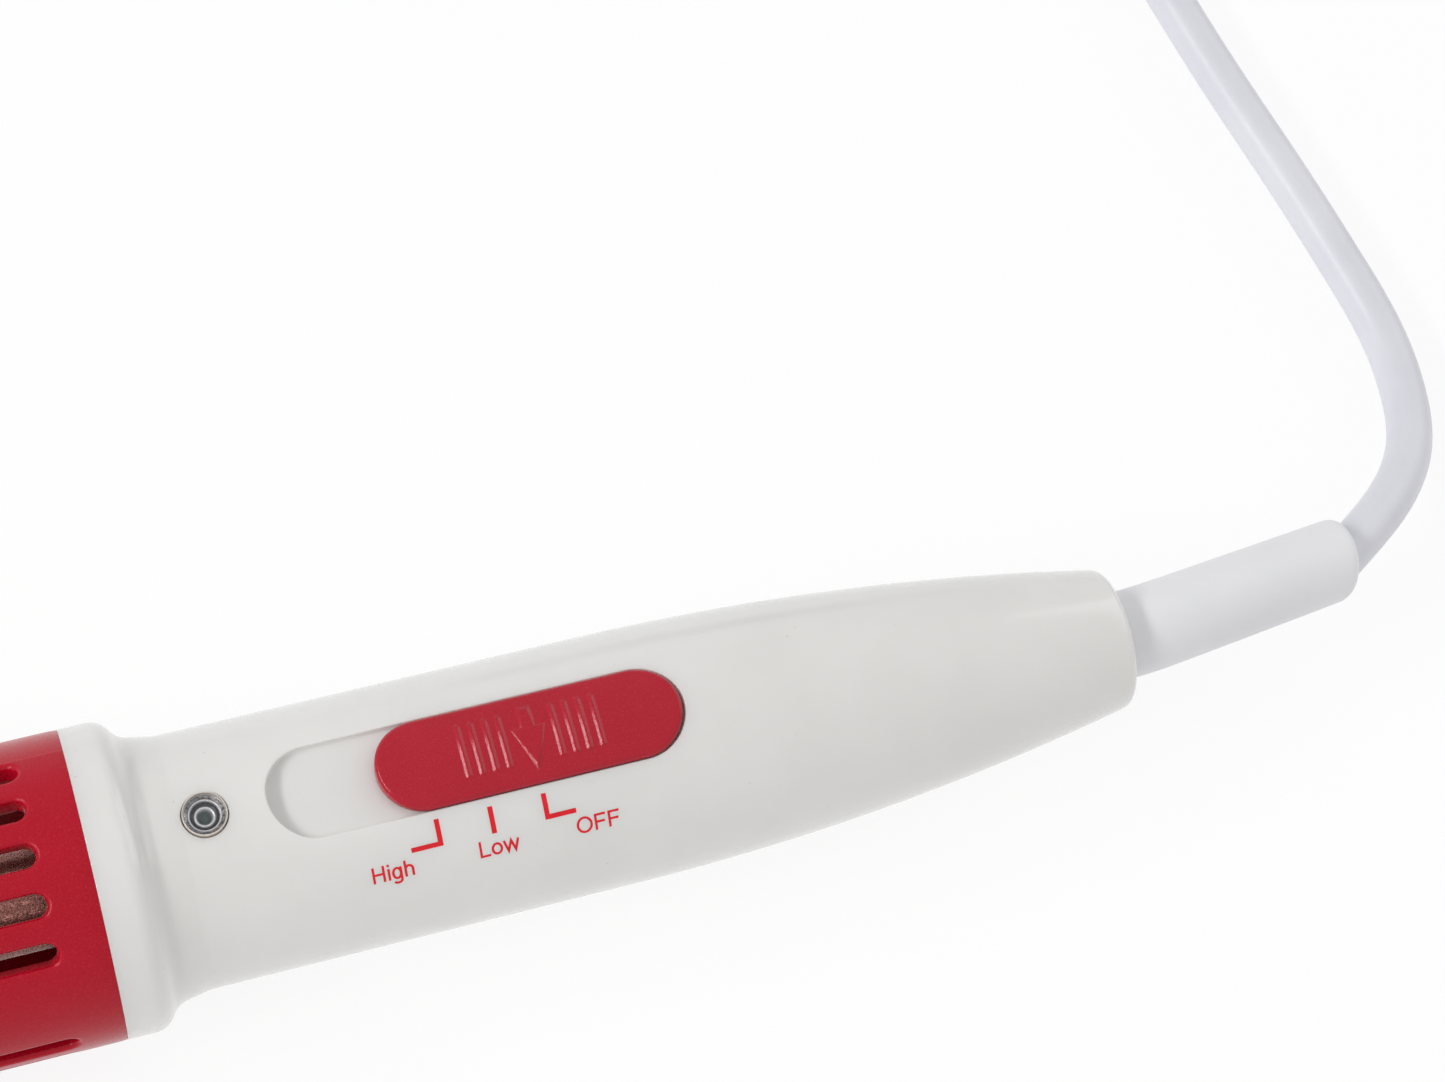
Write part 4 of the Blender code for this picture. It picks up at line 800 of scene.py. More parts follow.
def build_handle():
    """White housing: turned outside with the switch's slot and the lamp's hole, turned
    inside, and the flat strip that it lies on."""
    outline = handle_outline()
    first, second = 0.0090, 0.0186
    last = SLOT_START + SLOT_LENGTH + 0.0022
    half = math.radians(45)
    side_steps = ROUND * 2 // 8
    tops = np.argsort(outline[:, 0], kind="stable")
    after_foot = outline[tops, 0] > COLLAR_FOOT
    usable = tops[after_foot & (outline[tops, 0] < HANDLE_LENGTH - TAIL_EDGE_R)]

    def outer(along):
        return np.interp(along, outline[usable, 0], outline[usable, 1])

    front = outline[outline[:, 0] < first]
    front = np.concatenate([refined(front, 0.0010), [(first, float(outer(first)))]])
    rear = outline[outline[:, 0] > last]
    rear = np.concatenate([[(last, float(outer(last)))], refined(rear, 0.0020)])
    patches = [turned(front), turned(rear)]
    lamp_steps, slot_steps = 22, 104
    for start, end, steps in ((first, second, lamp_steps), (second, last, slot_steps)):
        along = np.linspace(start, end, steps + 1)
        flank = np.stack([along, outer(along)], axis=1)
        patches.append(turned(flank, ROUND - side_steps, half, math.tau - 2 * half))

    edge = 0.00022
    bend = np.linspace(0, math.pi / 2, 6)
    ease, sink = edge * (1 - np.sin(bend)), edge * (1 - np.cos(bend))
    slot_at = SLOT_START + SLOT_LENGTH / 2
    straight = (SLOT_LENGTH - SLOT_WIDTH) / 2
    patch, feet, rays = round_hole((second, last, half), (slot_steps, side_steps), outer,
                                   slot_at, straight, SLOT_WIDTH / 2, 16, edge)
    patches.append(patch)
    rings = slot_rings(feet, rays, SLOT_WIDTH / 2, ease)
    patches.append(onto(rings, outer, sink[:, None]))
    rim = rings[-1]
    rim_high = np.sqrt(outer(rim[:, 0])**2 - rim[:, 1]**2) - edge
    foot = 0.0003
    low_bend = np.linspace(0, math.pi / 2, 6)
    inward = np.concatenate([[0], -foot * (1 - np.cos(low_bend)),
                             -np.linspace(foot, SLOT_WIDTH / 2, 10)[1:]])
    wall = slot_rings(feet, rays, SLOT_WIDTH / 2, inward)
    down = np.concatenate([[1], np.zeros(len(inward) - 1)])[:, None]
    level = np.concatenate([[0], SLOT_FLOOR_Z + foot * (1 - np.sin(low_bend)),
                            np.full(9, SLOT_FLOOR_Z)])[:, None]
    high = down * rim_high + (1 - down) * level
    patches.append(grid(np.dstack([wall, high]), closed_columns=True))

    hole = LENS_R + GAP
    patch, feet, rays = round_hole((first, second, half), (lamp_steps, side_steps), outer,
                                   LAMP_AT, 0.0, hole, 14, LAMP_EDGE_R)
    patches.append(patch)
    shrink = LAMP_EDGE_R / edge
    rings = slot_rings(feet, rays, hole, ease * shrink)
    patches.append(onto(rings, outer, sink[:, None] * shrink))
    rim = rings[-1]
    rim_high = np.sqrt(outer(rim[:, 0])**2 - rim[:, 1]**2) - LAMP_EDGE_R
    cavity_r = GRIP_R - WALL
    slab_start, slab_end = SLOT_START - SLOT_WALL, SLOT_START + SLOT_LENGTH + SLOT_WALL

    def inner(along):
        share = np.maximum(0, (along - GRIP_END) / (HANDLE_LENGTH - GRIP_END))
        return cavity_r - (GRIP_R - TAIL_R) * share**2

    under, feet, rays = round_hole((first, slab_start, half), (lamp_steps, side_steps),
                                   inner, LAMP_AT, 0.0, hole, 8)
    low = feet + rays * hole
    low_high = np.sqrt(cavity_r**2 - low[:, 1]**2)
    well = np.stack([np.column_stack([rim, rim_high]), np.column_stack([low, low_high])])
    patches += [under, grid(well, closed_columns=True)]
    along = np.linspace(first, slab_start, lamp_steps + 1)
    flank = np.stack([along, inner(along)], axis=1)
    patches.append(turned(flank, ROUND - side_steps, half, math.tau - 2 * half))

    tail, ring_end = HANDLE_LENGTH - TAIL_WALL, RECESS_DEPTH + SCREW_RING_LENGTH
    along = np.linspace(slab_end, tail, 30)
    back = np.concatenate([[(HANDLE_LENGTH, RELIEF_R + GAP), (tail, RELIEF_R + GAP)],
                           np.stack([along, inner(along)], axis=1)[::-1]])
    front = np.array([(first, cavity_r), (ring_end + SCREW_RING_SLOPE, cavity_r),
                      (ring_end, SCREW_RING_R), (RECESS_DEPTH, SCREW_RING_R),
                      (RECESS_DEPTH, RECESS_R), (SEAM_HALF, RECESS_R)])
    patches += [turned(back), turned(front)]
    along = np.linspace(slab_start, slab_end, 40)
    points, quads = turned(np.stack([along, inner(along)], axis=1))
    ends = points.reshape(len(along), -1, 3)[[0, -1]]
    points[:, 2] = np.minimum(points[:, 2], SLAB_UNDER_Z)
    patches.append((points, quads))
    for end in ends:
        pressed = end.copy()
        pressed[:, 2] = np.minimum(pressed[:, 2], SLAB_UNDER_Z)
        patches.append(grid(np.stack([end, pressed]), closed_columns=True))
    patches = [flattened(patch) for patch in patches]
    piece("white_handle", patches, WHITE, "iron", ["handle_housing"])


def flattened(patch):
    """Presses what would reach below the table flat onto it."""
    points = patch[0].copy()
    points[:, 2] = np.maximum(points[:, 2], -AXIS_Z)
    return points, patch[1]


def build_guard():
    """Red guard: turned shell with a rounded shoulder, a group of slots on top and one
    low on each side. The slots' outer edges are rounded, and each slot's wall goes
    straight through towards the axis."""
    shoulder = -(GUARD_LENGTH - GUARD_NOSE_LENGTH)
    front = -GUARD_LENGTH
    outline = rounded([(-SEAM_HALF, GUARD_MOUTH_R, 0), (-SEAM_HALF, COLLAR_R - GUARD_EASE, 0),
                       (-GUARD_EASE * 16, COLLAR_R, 0.001),
                       (shoulder, COLLAR_R, GUARD_SHOULDER_R),
                       (front, GUARD_NOSE_R, GUARD_NOSE_EDGE_R),
                       (front, GUARD_MOUTH_R, 0.0004),
                       (front + GUARD_WALL, GUARD_MOUTH_R, 0)], 10)
    outline[0] = (-SEAM_HALF, RECESS_R - GAP)
    wall_r = COLLAR_R - GUARD_WALL
    inner = rounded([(front + GUARD_WALL, GUARD_MOUTH_R, 0),
                     (front + GUARD_WALL, GUARD_NOSE_R - GUARD_WALL, 0),
                     (shoulder + GUARD_WALL / 2, wall_r, 0.004), (-0.003, wall_r, 0)], 10)
    first, last = -0.0330, -0.0033

    def radius_on(line):
        line = line[np.argsort(line[:, 0], kind="stable")]
        wide = line[:, 1] > GUARD_NOSE_R - GUARD_WALL

        def radius_at(along):
            return np.interp(along, line[wide, 0], line[wide, 1])
        return radius_at

    outer_at, inner_at = radius_on(outline), radius_on(inner)
    rear = outline[outline[:, 0] > last]
    rear = np.concatenate([refined(rear, 0.0008), [(last, float(outer_at(last)))]])
    nose = outline[outline[:, 0] < first]
    nose = np.concatenate([[(first, float(outer_at(first)))], refined(nose, 0.0008)])
    inner_nose = inner[inner[:, 0] < first]
    inner_nose = np.concatenate([refined(inner_nose, 0.0012), [(first, float(inner_at(first)))]])
    inner_rear = np.array([(last, wall_r), (-0.003, wall_r), (-0.003, 0.0145),
                           (0.0025, 0.0145), (0.0025, RECESS_R - GAP),
                           (-SEAM_HALF, RECESS_R - GAP)])
    patches = []
    cells, window_cells = 60, 16
    turns = [(vent - (TOP_VENTS - 1) / 2) * VENT_PITCH for vent in range(TOP_VENTS)]
    turns += [side * (turns[-1] + VENT_STRIP + vent * VENT_PITCH)
              for side in (1, -1) for vent in range(SIDE_VENTS)]
    centres = sorted(VENT_TURN + turn for turn in turns)
    edges = []
    for centre, following in zip(centres, centres[1:] + [centres[0] + math.tau]):
        edges.append((centre - VENT_PITCH / 2, VENT_PITCH, window_cells, True))
        plain = following - centre - VENT_PITCH
        if plain > 0.001:
            edges.append((centre + VENT_PITCH / 2, plain, math.ceil(plain * 48), False))
    along = np.linspace(first, last, cells + 1)
    edge = VENT_EDGE_R
    bend = np.linspace(0, math.pi / 2, 7)
    ease, sink = edge * (1 - np.sin(bend)), edge * (1 - np.cos(bend))
    middle = -(VENT_START + VENT_LENGTH / 2)
    straight = (VENT_LENGTH - VENT_WIDTH) / 2
    for start, sweep, count, slotted in edges:
        for line in (rear, nose, inner_nose, inner_rear):
            patches.append(turned(line, count, start, sweep))
        if not slotted:
            for radius_at in (outer_at, inner_at):
                flank = np.stack([along, radius_at(along)], axis=1)
                patches.append(turned(flank, count, start, sweep))
            continue
        window = (first, last, sweep / 2)
        outside, feet, rays = round_hole(window, (cells, count), outer_at, middle,
                                         straight, VENT_WIDTH / 2, 8, edge)
        rings = slot_rings(feet, rays, VENT_WIDTH / 2, ease)
        rim = rings[-1]
        top = np.sqrt(outer_at(rim[:, 0])**2 - rim[:, 1]**2) - edge
        inside, inner_feet, inner_rays = round_hole(window, (cells, count), inner_at,
                                                    middle, straight, VENT_WIDTH / 2, 6)
        low = inner_feet + inner_rays * VENT_WIDTH / 2
        low_high = np.sqrt(inner_at(low[:, 0])**2 - low[:, 1]**2)
        wall = np.stack([np.column_stack([rim, top]), np.column_stack([low, low_high])])
        share = np.linspace(0, 1, 5)[:, None, None]
        wall = wall[0] + (wall[1] - wall[0]) * share
        for patch in (outside, onto(rings, outer_at, sink[:, None]), inside,
                      grid(wall, closed_columns=True)):
            patches.append(spun(patch, start + sweep / 2))
    patches = [flattened(patch) for patch in patches]
    piece("red_guard", patches, GUARD_RED, "iron", ["vent_guard"])


# Barrel and shoe

def build_barrel():
    """Barrel tube, its insulating sleeve and the bush that closes it: turned parts with
    small rounded edges."""
    bore = BARREL_R + GAP
    back, small = 0.0022, 0.00015
    sleeve = rounded([(back, bore, 0), (-SLEEVE_LENGTH, bore, small),
                      (-SLEEVE_LENGTH, SLEEVE_R, small), (back, SLEEVE_R, 0)], 4)
    sleeve = np.concatenate([refined(sleeve, 0.0015), sleeve[:1]])
    piece("mica_sleeve", [turned(sleeve, 96)], MICA, "iron",
          ["insulating_sleeve"])
    inside = BARREL_R - 0.0008
    tube = rounded([(0.009, inside, 0), (-BARREL_LENGTH, inside, 0),
                    (-BARREL_LENGTH, BARREL_R, 0.0003), (0.009, BARREL_R, 0.0003),
                    (0.009, inside, 0)], 4)
    piece("steel_barrel", [turned(refined(tube, 0.003), 96)], STEEL, "iron",
          ["barrel_tube"])
    face = -(BARREL_LENGTH + GAP)
    front, thread = face - BUSH_LENGTH, STUD_R + GAP
    plug_r, plug_end = inside - GAP, face + 0.0080
    groove = front + BUSH_LENGTH * 0.62
    bush = rounded([(plug_end - 0.002, 0, 0), (plug_end - 0.002, thread, 0),
                    (front, thread, 0.0003), (front, BUSH_R, 0.0006),
                    (groove - 0.0004, BUSH_R, 0.0001), (groove, BUSH_R - 0.0003, 0.0002),
                    (groove + 0.0004, BUSH_R, 0.0001), (face, BUSH_R, 0.0004),
                    (face, plug_r, 0), (plug_end, plug_r, 0), (plug_end, 0, 0)], 5)
    piece("brass_bush", [turned(refined(bush, 0.002), 96)], BRASS, "iron",
          ["barrel_bush"])
    return front


def build_shoe(front):
    """Ironing shoe, stud and nut. The shoe's levels are pointed ovals, each eased into
    the next; the nut is a hexagonal prism under a cone at both faces."""
    nut_front = front - GAP - NUT_THICK
    boss_back = nut_front - GAP
    base = -BOSS_LENGTH

    toe = np.array((-math.cos(SOLE_TILT), 0, math.sin(SOLE_TILT)))
    upward = np.array((math.sin(SOLE_TILT), 0, math.cos(SOLE_TILT)))
    centre = np.array((base, 0, -SHOE_DROP))
    turns = math.tau * (np.arange(128) + 0.5) / 128
    across = np.sin(turns) * np.sin(turns / 2)
    oval = np.stack([np.cos(turns) / 2, across / (2 * across.max())], axis=1)
    levels = rounded([(height * SHOE_HEIGHT, scale * SHOE_WIDTH, 0.0012)
                      for height, scale in SHOE_LEVEL_SHARES], 6)
    levels = np.concatenate([[(0, 0)], [(0, levels[0, 1] * k / 6) for k in range(1, 6)],
                             levels, [(SHOE_HEIGHT, levels[-1, 1] * k / 6)
                                      for k in range(5, 0, -1)], [(SHOE_HEIGHT, 0)]])
    scale = levels[:, 1, None, None] / SHOE_WIDTH
    body = (centre + upward * levels[:, 0, None, None]
            + toe * SHOE_LENGTH * scale * oval[None, :, :1]
            + np.array((0, SHOE_WIDTH, 0)) * scale * oval[None, :, 1:])
    neck = rounded([(base - 0.001, 0, 0), (base - 0.001, BOSS_R, 0.0012),
                    (-0.0075, BOSS_R, 0.0003), (-0.0066, BOSS_R - 0.0004, 0.0006),
                    (-0.0057, BOSS_R, 0.0003), (0, BOSS_R, 0.0006),
                    (0, STUD_R + GAP, 0.0002), (-0.0075, STUD_R + GAP, 0),
                    (-0.0075, 0, 0)], 5)
    shift = np.array((boss_back, 0, 0))
    patches = [grid(body + shift, closed_columns=True),
               moved(turned(refined(neck, 0.001), 96), shift)]
    piece("ironing_shoe", patches, SOLE, "tip", ["tip_shoe"])

    stud_back = front + BUSH_LENGTH + 0.0080 - 0.0020 - GAP - boss_back
    thread_length = stud_back - STUD_FRONT
    turns = round(thread_length / THREAD_PITCH)
    thread = [(STUD_FRONT, 0), (STUD_FRONT, STUD_R - 0.0003)]
    for k in range(turns):
        at = STUD_FRONT + thread_length * (k + 0.5) / turns
        thread += [(at - 0.00018, STUD_R - 0.00028), (at, STUD_R),
                   (at + 0.00018, STUD_R - 0.00028)]
    thread += [(stud_back, STUD_R - 0.0003), (stud_back, 0)]
    piece("threaded_stud", [moved(turned(thread, 64), shift)], STEEL, "tip",
          ["tip_stud"])

    flat = NUT_ACROSS / 2
    around = math.tau * np.arange(96) / 96
    hexagon = flat / np.cos((around + math.pi / 6) % (math.pi / 3) - math.pi / 6)
    along = np.linspace(0, NUT_THICK, 25)[:, None]
    dome = flat - 0.0001 + np.minimum(along, NUT_THICK - along) * 1.1
    radius = np.minimum(hexagon, dome)
    radius = np.concatenate([np.full((1, 96), STUD_R + GAP), np.full((1, 96), STUD_R + 0.0008),
                             radius, np.full((1, 96), STUD_R + 0.0008),
                             np.full((1, 96), STUD_R + GAP)])
    radius = np.concatenate([radius, radius[:1]])
    along = np.concatenate([[0.0004], [0], along[:, 0], [NUT_THICK], [NUT_THICK - 0.0004],
                            [0.0004]])[:, None]
    along = along + np.zeros_like(radius) + nut_front
    nut = np.stack([along, radius * np.sin(around), radius * np.cos(around)], axis=-1)
    piece("lock_nut_bright", [grid(nut, closed_columns=True)], STEEL, "tip",
          ["lock_nut"], sharp=math.radians(24))


def moved(patch, shift):
    return patch[0] + shift, patch[1]


# Switch, lamp and marks

def stadium_rays(length, width, straight_steps, end_steps):
    """Feet on the middle line of a shape with straight sides and round ends, and the
    directions from them to its outline, all the way round."""
    half = (length - width) / 2
    along = np.linspace(-half, half, straight_steps + 1)
    bend = np.linspace(math.pi / 2, -math.pi / 2, end_steps + 1)[:-1]
    level, end = np.zeros(straight_steps), np.zeros(end_steps)
    feet = np.concatenate([np.stack([along[:-1], level], 1), np.stack([end + half, end], 1),
                           np.stack([along[:0:-1], level], 1),
                           np.stack([end - half, end], 1)])
    rays = np.concatenate([np.stack([level, level + 1], 1),
                           np.stack([np.cos(bend), np.sin(bend)], 1),
                           np.stack([level, level - 1], 1),
                           np.stack([-np.cos(bend), -np.sin(bend)], 1)])
    return feet, rays


def rise(value, start, end):
    """Even S-shaped change from 0 at start to 1 at end."""
    share = np.clip((value - start) / (end - start), 0, 1)
    return share * share * (3 - 2 * share)


def inside_depth(x, y, outline):
    """Distance to an outline's nearest side, positive inside it. A point is inside if
    a line from it along x crosses the outline an odd number of times."""
    outline = np.array(outline)
    nearest = np.full(x.shape, np.inf)
    within = np.zeros(x.shape, bool)
    for one, two in zip(outline, np.roll(outline, -1, axis=0)):
        run = two - one
        share = np.clip(((x - one[0]) * run[0] + (y - one[1]) * run[1]) / (run @ run), 0, 1)
        nearest = np.minimum(nearest, np.hypot(x - one[0] - share * run[0],
                                               y - one[1] - share * run[1]))
        if run[1]:
            crosses = (one[1] > y) != (two[1] > y)
            within ^= crosses & (x < one[0] + (y - one[1]) * run[0] / run[1])
    return np.where(within, nearest, -nearest)


def build_knob():
    """Sliding knob. Its top is an arc round the iron's axis, plus ribs and a raised
    arrow, both with straight flanks; the arrow's top is a flatter arc, and a quarter
    round runs along the rim."""
    feet, rays = stadium_rays(KNOB_LENGTH, KNOB_WIDTH, 400, 56)
    half = KNOB_WIDTH / 2
    edge = 0.00055
    shares = np.linspace(0, 1, 78)
    spread = np.concatenate([(half - edge) * shares,
                             half - edge * (1 - np.sin(np.linspace(0, math.pi / 2, 9)[1:]))])
    sink = np.concatenate([0 * shares,
                           edge * (1 - np.cos(np.linspace(0, math.pi / 2, 9)[1:]))])
    plan = feet + rays * spread[:, None, None]
    x, y = plan[..., 0], plan[..., 1]
    top = np.sqrt(KNOB_TOP**2 - y**2)
    relief = np.zeros_like(top)
    reach = (RIB_LENGTH - RIB_WIDTH) / 2
    for side in (1, -1):
        for k in range(RIB_COUNT):
            off = np.hypot(x - side * (RIB_FIRST + k * RIB_PITCH),
                           y - np.clip(y, -reach, reach))
            climb = np.clip((RIB_WIDTH / 2 - off) / RIB_FLANK, 0, 1)
            relief = np.maximum(relief, RIB_HEIGHT * climb)
    tip = ARROW_SHIFT - ARROW_LENGTH / 2
    neck, tail = tip + ARROW_HEAD_LENGTH, tip + ARROW_LENGTH
    stem, head = ARROW_STEM_WIDTH / 2, ARROW_HEAD_WIDTH / 2
    outline = [(0, tip), (head, neck), (stem, neck), (stem, tail), (-stem, tail),
               (-stem, neck), (-head, neck)]
    flat = KNOB_TOP + ARROW_RISE - y**2 / (2 * ARROW_TOP_R) - top
    climb = (inside_depth(x, y, outline) + ARROW_OUTSET) * ARROW_SLOPE
    relief = np.maximum(relief, np.clip(climb, 0, flat))
    high = top + relief - sink[:, None]
    under = SLOT_FLOOR_Z + GAP
    wall = [plan[-1], plan[-1], feet + rays * (half - 0.0004), feet + rays * half * 0.5, feet]
    levels = [under + 0.0004, under + 0.0002, under, under, under]
    rows = [np.dstack([plan, high])]
    for ring, level in zip(wall, levels):
        rows.append(np.column_stack([ring, np.full(len(ring), level)])[None])
    points = np.concatenate(rows) + np.array((KNOB_AT, 0, 0))
    piece("red_knob", [grid(points, closed_columns=True)], KNOB_RED, "switch",
          ["slide_knob"], sharp=math.radians(70))


def upright(outline, place, sides=72):
    """Turns an outline, given as height and out, round an upright line at a place along
    the iron."""
    angles = math.tau * np.arange(sides) / sides
    outline = np.asarray(outline)
    points = np.stack([place + outline[:, 1:] * np.cos(angles),
                       outline[:, 1:] * np.sin(angles),
                       np.broadcast_to(outline[:, :1], (len(outline), sides))], axis=-1)
    return grid(points, closed_columns=True)


def build_lamp():
    """Indicator: a thin clear dome over a cup of stepped rings that goes down to the
    neon lamp."""
    top = LENS_TOP
    dome = [(top - 0.0004 * (1 - math.cos(a)), 0.00228 * math.sin(a) / math.sin(1.3))
            for a in np.linspace(0, 1.3, 12)]
    lens = dome + [(top - 0.00045, 0.00229), (top - 0.00052, 0.00225),
                   (top - 0.00045, 0.0015), (top - 0.0003, 0)]
    piece("lamp_lens", [upright(lens, LAMP_AT)], CLEAR, "iron")
    flange = LENS_MOUTH_R
    rings = rounded([(0, 0, 0), (0.00004, 0.00062, 0.0001), (0.00012, 0.00072, 0.0001),
                     (0.00050, 0.00098, 0.0001), (0.00056, 0.00112, 0.0001),
                     (0.00044, 0.00125, 0.0001), (0.00072, 0.00160, 0.0002),
                     (0.00098, 0.00172, 0.0001), (0.00106, 0.00182, 0.0001),
                     (0.00096, 0.00192, 0.0001), (0.00124, 0.00226, 0.0002),
                     (0.00130, 0.00236, 0.0001), (0.00164, 0.00240, 0.0001),
                     (0.00170, flange - 0.0001, 0.00008), (0.00160, flange, 0.00006),
                     (-0.0001, flange, 0), (-0.0001, 0, 0)], 4)
    rings[:, 0] += top - 0.00185
    piece("lamp_cup", [upright(rings, LAMP_AT)], CUP, "iron",
          ["indicator_lens"])


def arc(centre, radii, start, end, steps=24):
    """Points on an oval from one angle to another, in degrees; whole turns are left
    open, to be closed by the stroke."""
    angles = np.radians(np.linspace(start, end, steps, endpoint=abs(end - start) < 360))
    return np.stack([centre[0] + radii[0] * np.cos(angles),
                     centre[1] + radii[1] * np.sin(angles)], axis=1).tolist()


def stroke(line, wide, closed=False):
    """Flat ribbon of even width along a line. Its two sides lie along the mean of the
    normals before and after a point, made longer so that the width holds at corners."""
    line = np.asarray(line, float)
    ahead = np.roll(line, -1, axis=0) - line
    behind = np.roll(ahead, 1, axis=0)
    if not closed:
        ahead[-1], behind[0] = behind[-1], ahead[0]
    ahead, behind = (np.stack([-way[:, 1], way[:, 0]], axis=1)
                     / np.linalg.norm(way, axis=1)[:, None] for way in (ahead, behind))
    side = (ahead + behind) / 2
    side *= wide / 2 / (side**2).sum(axis=1)[:, None]
    return np.stack([line + side, line - side])


def printed(name, strokes):
    """A printed mark from ribbons, given along and round the grip: a place round it is
    turned to an angle by the grip's radius. A modifier gives the ink its thickness."""
    patches = []
    for k, ribbon in enumerate(strokes):
        angles, radius = ribbon[..., 1] / GRIP_R, GRIP_R + 0.00002 + k * 0.000001
        patches.append(grid(np.stack([ribbon[..., 0] + SEAM_X, -radius * np.sin(angles),
                                      radius * np.cos(angles) + AXIS_Z], axis=-1)))
    points = np.concatenate([patch[0] for patch in patches])
    counts = np.cumsum([0] + [len(patch[0]) for patch in patches])
    quads = np.concatenate([patch[1] + shift for patch, shift in zip(patches, counts)])
    a, b, c = (points[quads[:, k]] for k in range(3))
    outward = (np.cross(b - a, c - a) * (a - (0, 0, AXIS_Z)) * (0, 1, 1)).sum()
    mesh = bpy.data.meshes.new(name)
    mesh.from_pydata(points.tolist(), [], quads[:, ::1 if outward > 0 else -1].tolist())
    solid = finished(name, mesh, INK, "iron").modifiers.new(
        "ink", "SOLIDIFY")
    solid.thickness = 0.00004
    solid.offset = -1


def build_marks():
    """The switch's marks and its three setting words, as ribbons of ink. Letters are
    plain strokes in a square of 1000 with capitals 718 high."""
    degree = math.radians(1) * GRIP_R
    marks = {"high_mark": ((0.0376, 25.7), (0.0376, 36.8), (0.03425, 36.8)),
             "low_mark": ((0.0437, 25.9), (0.0437, 38.1)),
             "off_mark": ((0.04986, 25.8), (0.04986, 36.6), (0.05314, 36.6))}
    for name, corners in marks.items():
        line = refined(np.array(corners) * (1, degree), 0.0003)
        printed(name, [stroke(line, MARK_WIDTH)])

    letters = {
        "H": (722, [[(124, 0), (124, 718)], [(598, 0), (598, 718)], [(124, 372), (598, 372)]]),
        "i": (222, [[(111, 0), (111, 523)], [(111, 616), (111, 718)]]),
        "g": (556, [arc((258, 262), (178, 226), 0, 360),
                    [(448, 523), (448, -60)] + arc((262, -60), (186, 118), -20, -155, 12)]),
        "h": (556, [[(107, 0), (107, 718)],
                    [(107, 300)] + arc((278, 318), (171, 164), 165, 0, 16) + [(449, 0)]]),
        "L": (556, [[(118, 718), (118, 42), (530, 42)]]),
        "o": (556, [arc((278, 262), (198, 224), 0, 360)]),
        "w": (722, [[(44, 523), (200, 40), (361, 480), (522, 40), (678, 523)]]),
        "O": (778, [arc((389, 359), (306, 322), 0, 360, 32)]),
        "F": (611, [[(122, 0), (122, 676), (575, 676)], [(122, 366), (525, 366)]]),
    }
    words = (("High", 0.0295, 0.0342), ("Low", 0.0417, 0.0463), ("OFF", 0.0529, 0.0580))
    scale = (WORD_FOOT - WORD_HEAD) * degree / 718
    for word, start, end in words:
        lines, pen = [], 0
        for letter in word:
            lines += [np.array(line) + (pen, 0) for line in letters[letter][1]]
            pen += letters[letter][0]
        left = min(line[:, 0].min() for line in lines)
        right = max(line[:, 0].max() for line in lines)
        narrow = (end - start - INK_WIDTH) / (right - left)
        strokes = []
        for line in lines:
            flat = np.stack([start + INK_WIDTH / 2 + (line[:, 0] - left) * narrow,
                             WORD_FOOT * degree - line[:, 1] * scale], axis=1)
            closed = len(line) > 20 and np.hypot(*(flat[0] - flat[-1])) < 0.0006
            if closed:
                flat = np.concatenate([flat, flat[:1]])
                ribbon = stroke(flat[:-1], INK_WIDTH, closed=True)
                ribbon = np.concatenate([ribbon, ribbon[:, :1]], axis=1)
            else:
                ribbon = stroke(refined(flat, 0.00025), INK_WIDTH)
            strokes.append(ribbon)
        printed("word_" + word.lower(), strokes)


# Strain relief, cord and plug

def relief_line():
    """Centre line of the strain relief, as the solids have it: straight through the
    tail, then bent to the cord's side and a little down."""
    start = HANDLE_LENGTH - TAIL_WALL - RELIEF_FLANGE_THICK - GAP
    points = [np.array((start, 0, 0)), np.array((start + RELIEF_FLANGE_THICK, 0, 0)),
              np.array((HANDLE_LENGTH, 0, 0))]
    steps = 6

    def way_at(share):
        yaw, droop = RELIEF_YAW * share, RELIEF_DROOP * share
        return np.array((math.cos(yaw) * math.cos(droop), math.sin(yaw) * math.cos(droop),
                         -math.sin(droop)))

    for step in range(steps):
        points.append(points[-1] + way_at((step + 0.5) / steps) * RELIEF_BEND_LENGTH / steps)
    way = way_at(1)
    points.append(points[-1] + way * (RELIEF_LENGTH - RELIEF_BEND_LENGTH))
    return np.array(points), way


def build_relief():
    """Milky sleeve: its radius falls slowly along its line, and its end is rounded and
    has the cord's hole in it. Towards the end each point is moved along the sleeve in
    proportion to its place across, so that the mouth leans under the bent cord."""
    line, way = relief_line()
    bend = np.linspace(0, math.pi / 2, 9)
    last = line[-1] - way * RELIEF_EDGE_R
    body = smooth_curve(line[2:-1].tolist() + [last], (1, 0, 0), way, 0.0006)
    share = np.linspace(0, 1, len(body))
    radii = RELIEF_R + (RELIEF_END_R - RELIEF_R) * share * 0.9
    end = last + way * RELIEF_EDGE_R * np.sin(bend)[:, None]
    end_r = RELIEF_END_R - RELIEF_EDGE_R * (1 - np.cos(bend))
    hole = CORD_D / 2 + 0.0003
    mouth = np.array([0.00001, 0.00006, 0.00016, 0.0008])
    mouth_r = np.array([hole + 0.00012, hole + 0.00003, hole, hole])
    path = np.concatenate([line[:1], line[1:2], line[1:2] + (0.00001, 0, 0), body,
                           end[1:], line[-1] - way * mouth[:, None]])
    radii = np.concatenate([[RELIEF_FLANGE_R, RELIEF_FLANGE_R, RELIEF_R], radii, end_r[1:],
                            mouth_r])
    points, quads = ringed(path, radii, way_start=(1, 0, 0))
    from_end = (points - line[-1]) @ way
    off = points - line[-1] - from_end[:, None] * way
    lean = RELIEF_LEAN * rise(from_end, -0.006, -0.001) * (off @ (0, 0.91, 0.41))
    points = points + lean[:, None] * way
    piece("milky_relief", [(points, quads)], MILK, "iron", ["strain_relief"])
    return line[-1]


